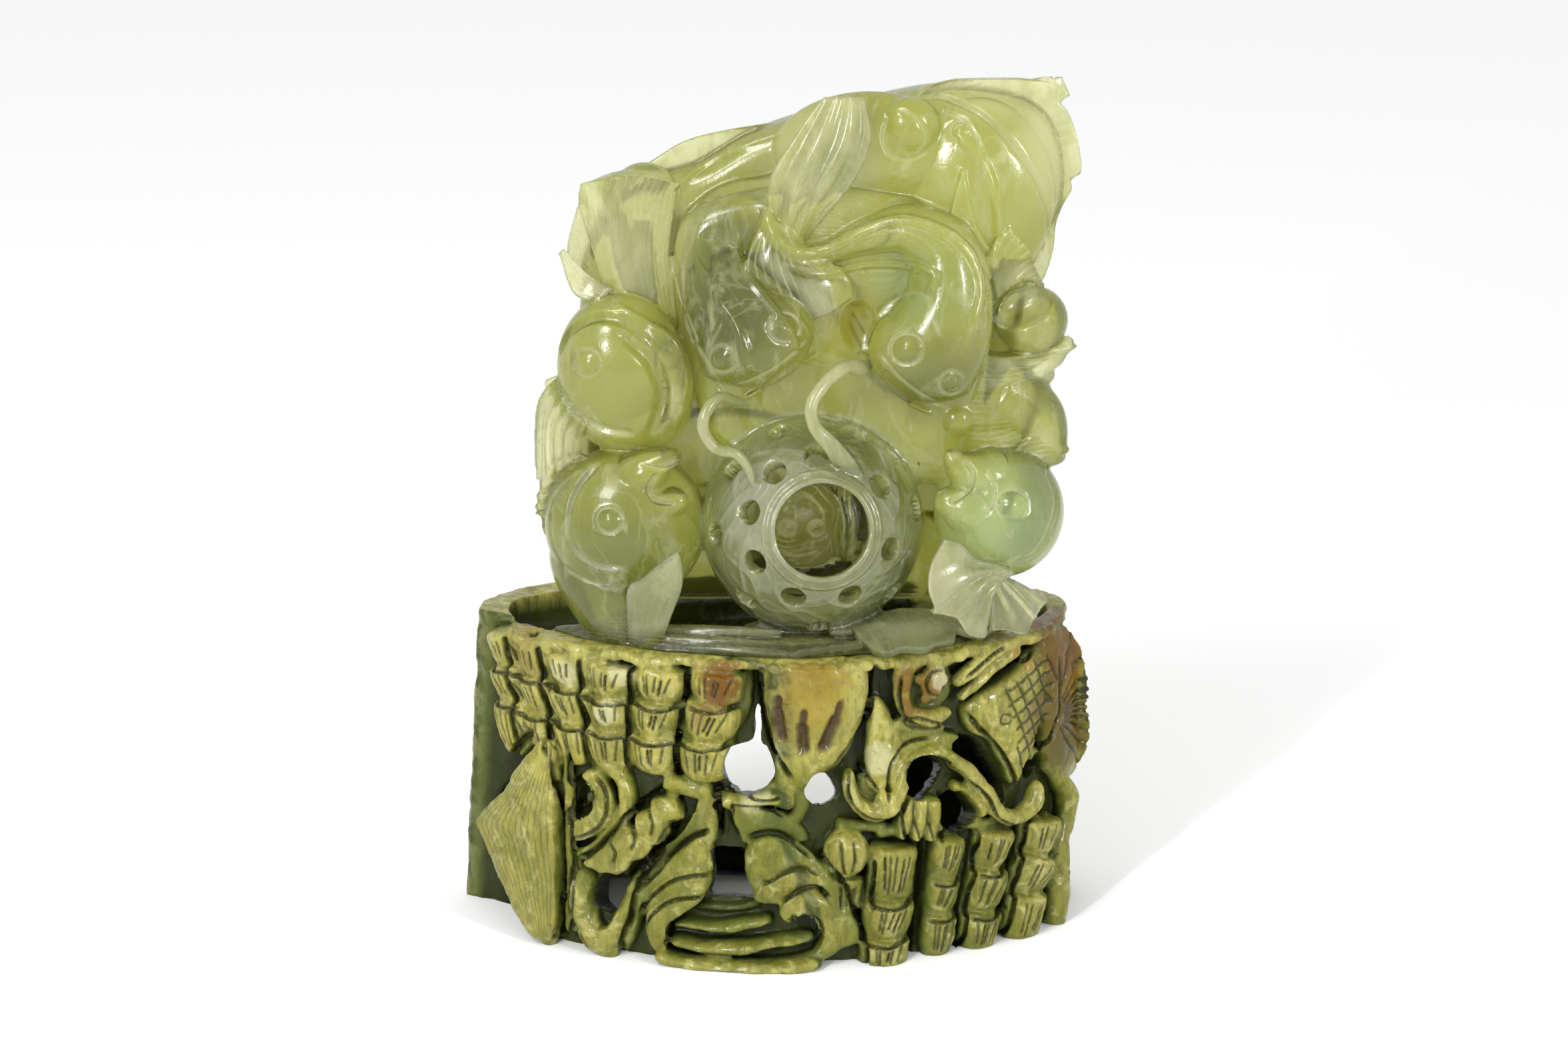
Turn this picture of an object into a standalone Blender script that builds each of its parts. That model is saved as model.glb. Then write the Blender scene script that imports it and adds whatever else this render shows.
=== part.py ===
"""A hardstone carving of goldfish diving on a pierced ball, on its own openwork stone stand.

The carving and the stand are two stones. Each is modelled as a carver's clay study: forms drawn out,
fanned and laid one over the other, fused into one skin, thinned to flat facets, then pierced and cut
flat. The forms are given in millimetres; fused() turns each finished stone to metres. +X is the
viewer's right, +Y the back, +Z up, and the origin is in the middle of the stand's underside.
"""

import math

import bmesh
import bpy
from mathutils import Matrix, Vector

MM = 0.001
FRONT = Vector((0, -1, 0))
UP = Vector((0, 0, 1))

# The stand's plan is a D, with a bowed front and a flatter back. It narrows towards its rim.
STAND_HEIGHT = 90.0
HALF_WIDTH_FOOT = 92.5
HALF_WIDTH_RIM = 86.5
FRONT_DEPTH_FOOT = 56.0
FRONT_DEPTH_RIM = 45.0
BACK_DEPTH = 31.4
PLAN_CENTRE_Y = 11.0
FRONT_ROUNDNESS = 1.8
BACK_ROUNDNESS = 2.5
GROUND_INSET = 6.0
SAWN_FACE = (Vector((-92.6, 12.9, 0.0)), Vector((-0.477, -0.879, 0.0)))
SAWN_EDGE_X = -70.0
RIM_WIDTH = 8.5
WALL = 15.5
LEDGE_HEIGHT = 80.0
FIT_GAP = 0.3

# The ball is a hollow globe with one round window and two rings of small holes.
BALL_CENTRE = Vector((10.0, -6.0, 122.0))
BALL_RADIUS = 31.5
BALL_WALL = 4.2
WINDOW_AXIS = Vector((0.093, -0.970, 0.225)).normalized()
WINDOW_RADIUS = 13.2
SMALL_HOLE_RADIUS = 2.8
INNER_RING = (41.0, (34, 92, 128, 165, 205, 247, 293, 342))
OUTER_RING = (66.0, (8, 64, 110, 145, 183, 225, 270, 317))
BALL_FISH = Vector((3.0, 13.0, 117.0))

# Each fish's head is an egg: its centre and its half sizes
LOWER_LEFT = (Vector((-43, -5, 122)), Vector((21, 19, 21)))
LOWER_RIGHT = (Vector((63, -5, 125)), Vector((18.5, 18, 19)))
MIDDLE_LEFT = (Vector((-44, -3, 168)), Vector((18, 15, 18)))
TOP_RIGHT = (Vector((56, 7, 214)), Vector((22, 11, 28)))

# The openings through the stand's front wall: the middle at x and z, and the half sizes
OPENINGS = {
    "left": (-8, 60.5, 7.4, 8.8),
    "right": (13.2, 52.7, 5.2, 4.6),
    "low": (-12.5, 28, 5.6, 7.5),
    "roll": (-49, 18, 3.4, 5.6),
    "fish": (58, 57, 4.4, 3.6),
    "under_fish": (64.5, 49, 3.4, 4),
    "leaf": (42.5, 54, 4.4, 4.6),
    "ribbon": (53, 42, 3.4, 3.6),
}
ARCH_HEIGHT = 33.0
ARCH_HALF_SIZES = (34.0, 23.0)

# How finely each stone is fused and then thinned, and the sides of the blocks that cut the seat
VOXEL = 0.9
CARVING_FACETS = 3700
STAND_FACETS = 2760
SEAT_SIDES = 36
FLUTE_DEPTH = 0.12


# ---- curves and forms -------------------------------------------------------


def through(points, share):
    """The point at a share of a smooth curve through points, or the value of a smooth row of numbers."""
    spans = len(points) - 1
    first = min(int(share * spans), spans - 1)
    f = share * spans - first
    a = points[max(first - 1, 0)]
    b = points[first]
    c = points[first + 1]
    d = points[min(first + 2, spans)]
    bend = 2 * a - 5 * b + 4 * c - d
    turn = 3 * b - a - 3 * c + d
    return 0.5 * (2 * b + (c - a) * f + bend * f * f + turn * f**3)


def vectors(points):
    return [Vector(point) for point in points]


def add_form(clay, form):
    """Lays a closed form into the clay, its faces pointing out."""
    bmesh.ops.recalc_face_normals(form, faces=form.faces[:])
    mesh = bpy.data.meshes.new("form")
    form.to_mesh(mesh)
    form.free()
    clay.from_mesh(mesh)
    bpy.data.meshes.remove(mesh)


def draw_out(clay, path, widths, depths=None, facing=FRONT, sides=12, steps=18, flutes=0, blunt=0.12):
    """A ball of clay drawn out along a smooth path, its poles at the path's ends. Widths are half sizes
    across the path and depths half sizes towards facing, which may be a function of the place. Flutes
    are grooves that run along the form, and blunt is the share of the path that each round end takes."""
    path = vectors(path)
    depths = depths or widths
    form = bmesh.new()
    bmesh.ops.create_uvsphere(form, u_segments=sides, v_segments=steps, radius=1)
    for vertex in form.verts:
        share = math.acos(max(-1.0, min(1.0, vertex.co.z))) / math.pi
        turn = math.atan2(vertex.co.y, vertex.co.x)
        along = (through(path, min(share + 0.01, 1)) - through(path, max(share - 0.01, 0))).normalized()
        place = through(path, share)
        towards = facing(place) if callable(facing) else Vector(facing)
        side = along.cross(towards).normalized()
        out = side.cross(along)
        to_end = min(share, 1 - share)
        end = math.sqrt(max(0.0, 1 - max(0.0, 1 - to_end / blunt) ** 2))
        groove = 1 - FLUTE_DEPTH * math.cos(flutes * turn) if flutes else 1
        width = through(widths, share) * end * groove * math.cos(turn)
        depth = through(depths, share) * end * groove * math.sin(turn)
        vertex.co = place + side * width + out * depth
    add_form(clay, form)


def lump(clay, centre, radii, sides=16, turned=None):
    """An egg-shaped lump."""
    form = bmesh.new()
    bmesh.ops.create_uvsphere(form, u_segments=sides, v_segments=sides * 2 // 3, radius=1)
    shape = Matrix.Translation(centre) @ (turned or Matrix.Identity(4)) @ Matrix.Diagonal((*radii, 1))
    bmesh.ops.transform(form, matrix=shape, verts=form.verts[:])
    add_form(clay, form)


def fan(clay, near, far, thick=2.2, tip=None, ribs=0, rib=0.0, bulge=0.0, ragged=0.0, across=12, along=10):
    """A fin or leaf: a sheet between two edge curves that start at its root. Tip is its third edge,
    ribs run from root to tip, rib is their height, bulge lifts its middle and ragged notches its tip."""
    near = vectors(near)
    far = vectors(far)
    tip = vectors(tip) if tip else [near[-1], far[-1]]
    sheet = bmesh.new()
    bmesh.ops.create_grid(sheet, x_segments=across, y_segments=along, size=1)
    shares = {vertex: ((vertex.co.x + 1) / 2, (vertex.co.y + 1) / 2) for vertex in sheet.verts}
    for vertex, (u, v) in shares.items():
        straight = near[-1].lerp(far[-1], u)
        edge = (through(tip, u) - straight) * v * v
        notch = ragged * abs(math.sin(math.pi * u * max(ribs, 3))) * v**6
        outward = (through(near, 1) - through(near, 0.8)).normalized()
        vertex.co = through(near, v).lerp(through(far, v), u) + edge - outward * notch
    bmesh.ops.recalc_face_normals(sheet, faces=sheet.faces[:])
    if sum((face.normal for face in sheet.faces), Vector()).dot(FRONT) < 0:
        bmesh.ops.reverse_faces(sheet, faces=sheet.faces[:])
    sheet.normal_update()
    lifts = {}
    for vertex, (u, v) in shares.items():
        ripple = rib * math.cos(2 * math.pi * ribs * u) * min(1, 3 * v)
        lifts[vertex] = vertex.normal * (ripple + bulge * 4 * u * (1 - u) + thick / 2)
    for vertex, lift in lifts.items():
        vertex.co += lift
    bmesh.ops.solidify(sheet, geom=sheet.faces[:], thickness=thick)
    add_form(clay, sheet)


def slab(clay, outline, front, back, rounding):
    """A block with a smooth outline of (x, z) places, its edges rounded over."""
    form = bmesh.new()
    smooth = [through(vectors(outline), step / (3 * len(outline))) for step in range(3 * len(outline) + 1)]
    face = form.faces.new([form.verts.new((place.x, back, place.y)) for place in smooth])
    grown = bmesh.ops.extrude_face_region(form, geom=[face])
    lifted = [part for part in grown["geom"] if isinstance(part, bmesh.types.BMVert)]
    bmesh.ops.translate(form, verts=lifted, vec=(0, front - back, 0))
    rims = [edge for edge in form.edges if abs(edge.verts[0].co.y - edge.verts[1].co.y) < 0.1]
    bmesh.ops.bevel(form, geom=rims, offset=rounding, affect="EDGES", segments=3, profile=0.5)
    add_form(clay, form)


def ring(clay, centre, facing, radius, thick, sides=8, steps=20):
    """A round wire ring that lies square to facing."""
    form = bmesh.new()
    upright = Matrix.Translation((radius, 0, 0)) @ Matrix.Rotation(math.pi / 2, 4, "X")
    wire = bmesh.ops.create_circle(form, segments=sides, radius=thick, matrix=upright)
    geom = wire["verts"] + form.edges[:]
    bmesh.ops.spin(form, geom=geom, axis=(0, 0, 1), angle=2 * math.pi, steps=steps, use_merge=True)
    placed = Matrix.Translation(centre) @ Vector(facing).to_track_quat("Z", "Y").to_matrix().to_4x4()
    bmesh.ops.transform(form, matrix=placed, verts=form.verts[:])
    add_form(clay, form)


def skin_of(egg, x, z, proud=0.0):
    """The place on an egg's front at x and z, and the way that its skin faces there."""
    centre, radii = egg
    across = (x - centre.x) / radii.x
    up = (z - centre.z) / radii.z
    deep = math.sqrt(max(0.05, 1 - across * across - up * up))
    normal = Vector((across / radii.x, -deep / radii.y, up / radii.z)).normalized()
    return Vector((x, centre.y - radii.y * deep, z)) + normal * proud, normal


def eye(clay, place, facing, radius):
    """A fish's eye: a raised ring round a low dome."""
    ring(clay, place, facing, radius, radius * 0.2)
    turned = Vector(facing).to_track_quat("Z", "Y").to_matrix().to_4x4()
    lump(clay, place, (radius * 0.45, radius * 0.45, radius * 0.35), sides=10, turned=turned)


def ridge(clay, spots, thick, egg=None, proud=0.0):
    """A thin ridge through spots, which are (x, z) places on an egg's front where an egg is given."""
    places = [skin_of(egg, x, z, proud)[0] for x, z in spots] if egg else spots
    draw_out(clay, places, [thick * 0.5, thick, thick, thick * 0.5], sides=8, steps=20)


# ---- the carving ------------------------------------------------------------


def core(clay):
    """The mass of stone that the fish stand out from, and its hidden foot on the stand's back ledge."""
    left = [(-40, 93), (-56, 110), (-54, 140), (-56, 180), (-52, 216), (-34, 221), (-22, 221), (-4, 231)]
    right = [(24, 239), (50, 243), (74, 236), (80, 214), (70, 186), (72, 150), (66, 112), (46, 93)]
    slab(clay, left + right, 5, 24, 7)
    draw_out(clay, [(-45, 23, 86), (0, 25, 87), (45, 23, 86)], [7, 7, 7], [10, 11, 10], facing=UP)


def diving_fish(clay):
    """Two fish that dive on the ball, seen from above, each bent over like a hook."""
    left = [(12, 3, 222), (-1, 2, 217), (-11, 1, 215), (-19, -1, 209), (-20, -4, 201), (-16, -9, 192)]
    left += [(-10, -13, 184), (-5, -15, 175), (-1, -14, 165)]
    widths = [4, 5, 6, 7, 8, 11, 15, 17, 10]
    draw_out(clay, left, widths, [5, 6, 7, 8, 9, 11, 13, 13, 7], sides=16, steps=28)
    ridge(clay, [(-19, -12, 206), (-18, -17, 198), (-12, -24, 188), (-6, -28, 180), (-2, -27, 172)], 1.6)
    right = [(-2, -7, 207), (5, -8, 200), (15, -8, 201), (25, -9, 207), (36, -9, 208), (47, -10, 202)]
    right += [(50, -12, 190), (46, -14, 178), (38, -15, 168), (33, -14, 160)]
    widths = [2, 3, 3.5, 4, 6, 9, 11, 14, 15, 9]
    draw_out(clay, right, widths, [3, 4, 5, 6, 8, 10, 12, 12, 11, 6], sides=16, steps=30)
    crest = [(-3, -11, 210), (5, -13, 202), (15, -14, 203), (25, -16, 211), (36, -17, 214), (49, -17, 208)]
    ridge(clay, crest + [(57, -17, 196), (57, -19, 184)], 2.4)
    ridge(clay, [(5, -8, 198), (14, -10, 196), (24, -12, 197), (33, -14, 199), (42, -18, 196)], 2.2)
    ridge(clay, [(-13, -20, 162), (-6, -25, 165), (3, -26, 170), (10, -22, 175)], 1.8)
    ridge(clay, [(25, -22, 168), (33, -25, 162), (44, -22, 154)], 1.8)
    eye(clay, (3, -25, 184), (0.45, -0.88, 0.1), 4.2)
    eye(clay, (-17, -24, 174), (-0.5, -0.85, 0.1), 4.2)
    eye(clay, (50, -23, 167), (0.45, -0.88, 0.1), 3.6)


def barbels(clay):
    """Two round tendrils that hang from the divers' mouths and end on the ball."""
    left = [(-10, -16, 162), (-17, -22, 163), (-20, -26, 158), (-18, -29, 152), (-11, -32, 151)]
    draw_out(clay, left + [(-6, -34, 147)], [1.8, 2.1, 2.1, 2.0, 1.8, 1.4], steps=26)
    right = [(22, -18, 171), (15, -22, 168), (10, -26, 163), (11, -30, 156), (17, -34, 149)]
    draw_out(clay, right + [(24, -37, 143)], [2.4, 2.3, 2.2, 2.1, 2.0, 1.4], steps=26)


def tail_fan(clay):
    """The right diver's tail, opened upwards over the left diver's back."""
    near = [(-1, -9, 206), (-4, -12, 219), (0, -12, 230), (8, -9, 240), (16, -4, 245)]
    far = [(3, -9, 207), (10, -12, 215), (20, -11, 223), (25, -8, 233), (25, -4, 245)]
    fan(clay, near, far, thick=2.6, ribs=5, rib=0.5, bulge=2.5, along=14)
    near = [(3, -6, 202), (8, -7, 199), (17, -7, 202)]
    far = [(4, -5, 210), (14, -4, 214), (23, -4, 208)]
    fan(clay, near, far, thick=3, ribs=4, rib=0.4, bulge=1)


def ball(clay):
    lump(clay, BALL_CENTRE, [BALL_RADIUS] * 3, sides=32)
    rim = BALL_CENTRE + WINDOW_AXIS * (math.sqrt(BALL_RADIUS**2 - WINDOW_RADIUS**2) - 0.3)
    ring(clay, rim, WINDOW_AXIS, WINDOW_RADIUS + 1.4, 1.6, steps=28)


def lower_left_fish(clay):
    """A fish's head in profile, its mouth up and to the right, its body down to the base."""
    centre, radii = LOWER_LEFT
    lump(clay, centre, radii, sides=24)
    body = [(-45, -3, 122), (-49, -4, 110), (-48, -7, 100), (-45, -10, 90), (-42, -12, 84)]
    draw_out(clay, body, [18, 20, 17, 15, 12], [14, 15, 12, 10, 8])
    draw_out(clay, [(-38, -12, 136), (-31, -15, 141), (-26, -16, 144)], [6, 4.5, 2.4])
    draw_out(clay, [(-36, -13, 130), (-29, -16, 131), (-24, -16, 130)], [7, 5.5, 3.2])
    eye(clay, *skin_of(LOWER_LEFT, -48, 129), 3.6)
    ridge(clay, [(-58, 128), (-58, 118), (-51, 111), (-41, 110)], 1.3, LOWER_LEFT)
    ridge(clay, [(-60, -8, 116), (-57, -15, 108), (-48, -19, 104), (-39, -18, 105)], 1.3)
    near = [(-50, -6, 139), (-58, -2, 141), (-65, 2, 137)]
    far = [(-58, -8, 126), (-63, -4, 123), (-68, 2, 122)]
    fan(clay, near, far, ribs=5, rib=0.7, thick=3)
    near = [(-60, -2, 122), (-66, 2, 122)]
    far = [(-54, 0, 102), (-60, 3, 104)]
    fan(clay, near, far, ribs=4, rib=0.5, thick=3, bulge=2)


def middle_left_fish(clay):
    """A hooded head above it, its gill cover folded forward at the right, and a ribbed fin below."""
    centre, radii = MIDDLE_LEFT
    lump(clay, centre, radii, sides=22)
    lump(clay, (-43, -1, 153), (17, 13, 15), sides=18)
    ridge(clay, [(-40, -11, 184), (-30, -13, 181), (-26, -14, 170), (-26, -14, 158), (-30, -12, 149)], 3.2)
    ridge(clay, [(-58, -7, 180), (-48, -14, 183), (-40, -14, 184)], 2.0)
    near = [(-50, -8, 156), (-55, -7, 147), (-56, -3, 137)]
    far = [(-60, -4, 166), (-67, 1, 155), (-68, 3, 137)]
    fan(clay, near, far, ribs=5, rib=0.5, thick=3, bulge=2)
    near = [(-52, 6, 166), (-50, 6, 110)]
    far = [(-66, 7, 160), (-62, 7, 110)]
    fan(clay, near, far, tip=[(-50, 6, 110), (-62, 7, 112)])
    near = [(-52, -4, 187), (-58, -1, 191), (-62, 2, 199)]
    far = [(-47, -4, 189), (-52, 0, 193), (-56, 2, 198)]
    fan(clay, near, far, thick=2.6)


def left_fins(clay):
    """The tall ribbed fin at the top left, the lump on its corner and the thin fin behind it."""
    near = [(-26, 4, 182), (-27, 4, 200), (-27, 6, 219)]
    far = [(-55, 4, 184), (-58, 4, 200), (-55, 4, 219)]
    edge = [(-27, 6, 218), (-34, 4, 223), (-46, 3, 223), (-55, 4, 219)]
    fan(clay, near, far, tip=edge, thick=6, ribs=7, rib=0.5, bulge=2)
    lump(clay, (-38, 5, 217), (10, 6, 8))
    edge = [(-54, 11, 217), (-40, 13, 224), (-22, 15, 231), (-4, 15, 233)]
    fan(clay, [(-50, 11, 200), (-54, 11, 217)], [(-4, 15, 214), (-4, 15, 233)], tip=edge, thick=2.4)


def top_right_fish(clay):
    """A fish turned up at the top right, its round nose to the left, in front of a great back fin."""
    centre, radii = TOP_RIGHT
    lump(clay, centre, radii, sides=24)
    lump(clay, (37, -1, 236), (7, 7, 7), sides=12)
    lump(clay, (35, 2, 227), (7, 5, 5), sides=12)
    eye(clay, *skin_of(TOP_RIGHT, 52, 232), 3.6)
    brow = [(38, 0, 243), (48, -3, 243), (60, -3, 239), (70, -1, 230), (76, 1, 217), (78, 3, 204)]
    ridge(clay, brow, 1.8)
    near = [(20, 9, 226), (30, 10, 236), (42, 10, 245)]
    far = [(50, 9, 190), (62, 10, 186), (73, 12, 184)]
    tip = [(42, 10, 245), (62, 11, 245), (80, 12, 243), (86, 12, 224), (82, 12, 206), (77, 12, 194)]
    tip += [(73, 12, 184)]
    fan(clay, near, far, tip=tip, thick=2.6, ribs=8, rib=0.3, ragged=2.5, across=26, along=14)


def right_fins(clay):
    """The spike, curl, cup and ribbed panel down the right side."""
    near = [(56, -4, 186), (50, -4, 202), (52, -3, 223)]
    far = [(66, -3, 188), (60, -3, 200), (53, -3, 223)]
    fan(clay, near, far, thick=2.6)
    near = [(57, -6, 184), (60, -6, 196), (66, -2, 207)]
    far = [(62, -5, 180), (69, -4, 183), (75, 0, 189)]
    fan(clay, near, far, tip=[(66, -2, 207), (71, 0, 200), (75, 0, 189)], thick=3, ribs=5, rib=0.6)
    draw_out(clay, [(62, -1, 174), (70, -2, 178), (79, -1, 186)], [6, 9, 5], [6, 8, 5])
    edge = [(84, 1, 174), (76, 3, 166), (74, 4, 157), (76, 4, 148), (82, 2, 143)]
    near = [(52, -2, 176), (66, -2, 172), (84, 1, 174)]
    far = [(54, -2, 139), (66, -2, 139), (82, 2, 143)]
    fan(clay, near, far, tip=edge, thick=5, ribs=6, rib=0.5, bulge=1, across=20)
    lump(clay, (52, -5, 150), (5, 4, 5), sides=12)
    draw_out(clay, [(60, 0, 158), (72, 2, 150), (74, 2, 136)], [12, 10, 8], [8, 7, 6])


def lower_right_fish(clay):
    """A round head in profile, mouth open to the left, with broad fins hanging below."""
    centre, radii = LOWER_RIGHT
    lump(clay, centre, radii, sides=24)
    draw_out(clay, [(58, -10, 140), (51, -13, 144), (48, -14, 147)], [5, 4, 1.6])
    draw_out(clay, [(58, -14, 130), (50, -16, 130), (43, -15, 131)], [7, 6, 3])
    ring(clay, (52, -17, 137), (-0.75, -0.6, 0.3), 5, 1.8)
    eye(clay, *skin_of(LOWER_RIGHT, 66, 134), 3.4)
    ridge(clay, [(74, 136), (78, 126), (76, 115), (68, 109)], 1.3, LOWER_RIGHT)
    draw_out(clay, [(56, 6, 120), (52, 10, 104), (50, 16, 88)], [16, 13, 12], [10, 9, 9])
    near = [(66, -4, 144), (75, -3, 147), (83, 0, 142)]
    far = [(68, -4, 140), (76, -3, 140), (82, 0, 140)]
    fan(clay, near, far, thick=3)
    near = [(62, -21, 112), (52, -24, 116), (47, -27, 124)]
    far = [(64, -21, 108), (60, -26, 103), (58, -28, 96)]
    tip = [(47, -27, 124), (42, -30, 113), (45, -30, 104), (52, -29, 99), (58, -28, 96)]
    fan(clay, near, far, tip=tip, thick=2.4, ribs=3, rib=0.6, ragged=2, across=20)
    near = [(62, -18, 110), (69, -15, 107), (76, -10, 101)]
    far = [(60, -19, 106), (60, -21, 101), (61, -22, 94)]
    tip = [(76, -10, 101), (73, -15, 93), (61, -22, 94)]
    fan(clay, near, far, tip=tip, thick=2.4, ribs=3, rib=0.6, ragged=2)


def base(clay):
    """The crescent of waves and leaves that the carving stands on, with a leaf risen at the left."""
    arc = [(-68, -4, 83), (-50, -14, 83), (-25, -19, 83), (0, -20, 83), (25, -20, 83), (50, -14, 83)]
    arc += [(68, -3, 83)]
    draw_out(clay, arc, [4, 7, 7, 7, 7, 7, 4], [4, 5, 6, 8, 7, 5, 4], facing=UP, steps=30)
    ridge(clay, [(-62, -10, 87), (-40, -20, 89), (-15, -24, 91), (6, -24, 93)], 2.2)
    ridge(clay, [(68, -8, 87), (50, -18, 89), (30, -23, 91), (8, -24, 93)], 2.4)
    ridge(clay, [(-50, -10, 88), (-30, -15, 90), (-10, -18, 94)], 2.4)
    draw_out(clay, [(10, -10, 92), (10, -16, 86)], [20, 24], [8, 6])
    near = [(-36, -22, 90), (-40, -25, 104), (-38, -27, 111), (-28, -29, 122)]
    far = [(-32, -22, 90), (-27, -26, 104), (-25, -28, 114), (-27, -29, 122)]
    fan(clay, near, far, thick=2.4, bulge=1.5)
    near = [(8, -22, 92), (18, -26, 92), (34, -28, 92)]
    far = [(8, -16, 96), (20, -20, 96), (36, -18, 94)]
    fan(clay, near, far, ribs=3, rib=0.6)
    near = [(34, -22, 90), (44, -25, 92), (56, -22, 92)]
    far = [(34, -14, 92), (46, -14, 95), (62, -12, 92)]
    fan(clay, near, far, ribs=3, rib=0.6)


def back(clay):
    """The back, plainer: two fish in low relief, their tails, and waves."""
    for nose, z, way in ((-34, 130, 1), (36, 190, -1)):
        body = [(nose, 20, z - 2), (nose + 12 * way, 24, z + 6), (nose + 28 * way, 24, z + 8)]
        draw_out(clay, body + [(nose + 46 * way, 20, z + 4)], [7, 12, 11, 5], [5, 6, 6, 4], -FRONT)
        eye(clay, (nose + 10 * way, 30, z + 9), (-0.1 * way, 1, 0.1), 3)
        root = nose + 44 * way
        near = [(root, 20, z + 6), (root + 10 * way, 22, z + 14), (root + 20 * way, 22, z + 18)]
        far = [(root, 20, z + 2), (root + 10 * way, 22, z - 4), (root + 22 * way, 22, z - 8)]
        fan(clay, near, far, ribs=4, rib=0.5)
    for x, z, lean in ((-28, 104, 8), (-4, 102, 4), (22, 104, -6), (-30, 166, 10), (30, 160, -8)):
        wave = [(x - lean, 22, z - 8), (x, 26, z), (x + lean, 25, z + 12), (x + 2 * lean, 22, z + 24)]
        ridge(clay, wave, 3)


def small_hole_ways():
    """The direction of each small hole from the middle of the ball."""
    up = WINDOW_AXIS.cross(Vector((1, 0, 0))).normalized()
    side = up.cross(WINDOW_AXIS).normalized()
    if side.x < 0:
        side = -side
    if up.z < 0:
        up = -up
    for tilt, turns in (INNER_RING, OUTER_RING):
        lean = math.radians(tilt)
        for turn in turns:
            angle = math.radians(turn)
            away = side * math.cos(angle) + up * math.sin(angle)
            yield WINDOW_AXIS * math.cos(lean) + away * math.sin(lean)


# ---- the stand --------------------------------------------------------------


def plan(turn, z, inset=0.0, sawn=False):
    """The place on the stand's plan at a turn from +X, drawn in by inset at its height. The sawn face is
    the flat at its left front."""
    share = z / STAND_HEIGHT
    half_width = HALF_WIDTH_FOOT + (HALF_WIDTH_RIM - HALF_WIDTH_FOOT) * share - inset
    front = FRONT_DEPTH_FOOT + (FRONT_DEPTH_RIM - FRONT_DEPTH_FOOT) * share - inset
    c, s = math.cos(turn), math.sin(turn)
    power, depth = (FRONT_ROUNDNESS, front) if s < 0 else (BACK_ROUNDNESS, BACK_DEPTH - inset)
    x = half_width * math.copysign(abs(c) ** (2 / power), c)
    y = PLAN_CENTRE_Y + depth * math.copysign(abs(s) ** (2 / power), s)
    place = Vector((x, y, z))
    if sawn and place.x < SAWN_EDGE_X:
        corner, normal = SAWN_FACE
        beyond = (place - corner).dot(normal) / normal.length_squared
        place -= normal * max(0.0, beyond)
        place.z = z
    return place


def outward(place):
    """The way that the stand's front faces at a place on it."""
    across = place.x / HALF_WIDTH_FOOT**2
    forward = (place.y - PLAN_CENTRE_Y) / FRONT_DEPTH_FOOT**2
    return Vector((across, forward, 0)).normalized()


def wall(x, z, out=0.0):
    """The place on the stand's bowed front at x and z, or out in front of it."""
    share = z / STAND_HEIGHT
    half_width = HALF_WIDTH_FOOT + (HALF_WIDTH_RIM - HALF_WIDTH_FOOT) * share
    front = FRONT_DEPTH_FOOT + (FRONT_DEPTH_RIM - FRONT_DEPTH_FOOT) * share
    across = min(abs(x) / half_width, 0.985)
    y = PLAN_CENTRE_Y - front * (1 - across**FRONT_ROUNDNESS) ** (1 / FRONT_ROUNDNESS)
    place = Vector((x, y, z))
    return place + outward(place) * out


def on_wall(spots, out=0.0):
    """Places on the wall at (x, z) or (x, z, out) spots."""
    return [wall(spot[0], spot[1], out + (spot[2] if len(spot) > 2 else 0)) for spot in spots]


def plan_block(clay, inset, low, high, ground=0.0, sawn=False, sides=SEAT_SIDES):
    """A block with the stand's plan, drawn in by inset all round and by ground at the bowed front."""
    form = bmesh.new()
    bmesh.ops.create_cone(form, segments=sides, radius1=1, radius2=1, depth=1, cap_ends=True)
    for vertex in form.verts:
        turn = math.atan2(vertex.co.y, vertex.co.x)
        c, s = math.cos(turn), math.sin(turn)
        front_share = max(0.0, 1 - 2 * max(0.0, s)) if c > 0 else max(0.0, -s) ** 0.5
        vertex.co = plan(turn, high if vertex.co.z > 0 else low, inset + ground * front_share, sawn)
    add_form(clay, form)


def carve(clay, spots, widths, depths=None, out=-3.0, **more):
    """A form drawn out along the stand's front."""
    draw_out(clay, on_wall(spots, out), widths, depths, facing=outward, **more)


def leaf(clay, near, far, tip=None, thick=6.0, out=-3.0, **more):
    """A leaf laid along the stand's front."""
    fan(clay, on_wall(near, out), on_wall(far, out), thick, tip=tip and on_wall(tip, out), **more)


def cups(clay, stops, width, out=-4.5):
    """A hanging string of ribbed cups between stops, each wide at its lip and narrow at its foot."""
    for top, foot in zip(stops, stops[1:]):
        lip = (top[0], top[1] + 1.0)
        sizes = [width * 0.93, width, width * 0.96, width * 0.72]
        carve(clay, [lip, foot], sizes, None, out, sides=18, steps=10, flutes=9, blunt=0.07)


def stand_walls(clay):
    """The ground of the wall behind the carving, and the rim that flares over it."""
    plan_block(clay, 0, -2, 87, GROUND_INSET, sawn=True, sides=90)
    plan_block(clay, 0, 83, STAND_HEIGHT, 0.8, sawn=True, sides=90)
    carve(clay, [(-79, 90), (-73, 58)], [8, 6], [9, 8], -9)


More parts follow.
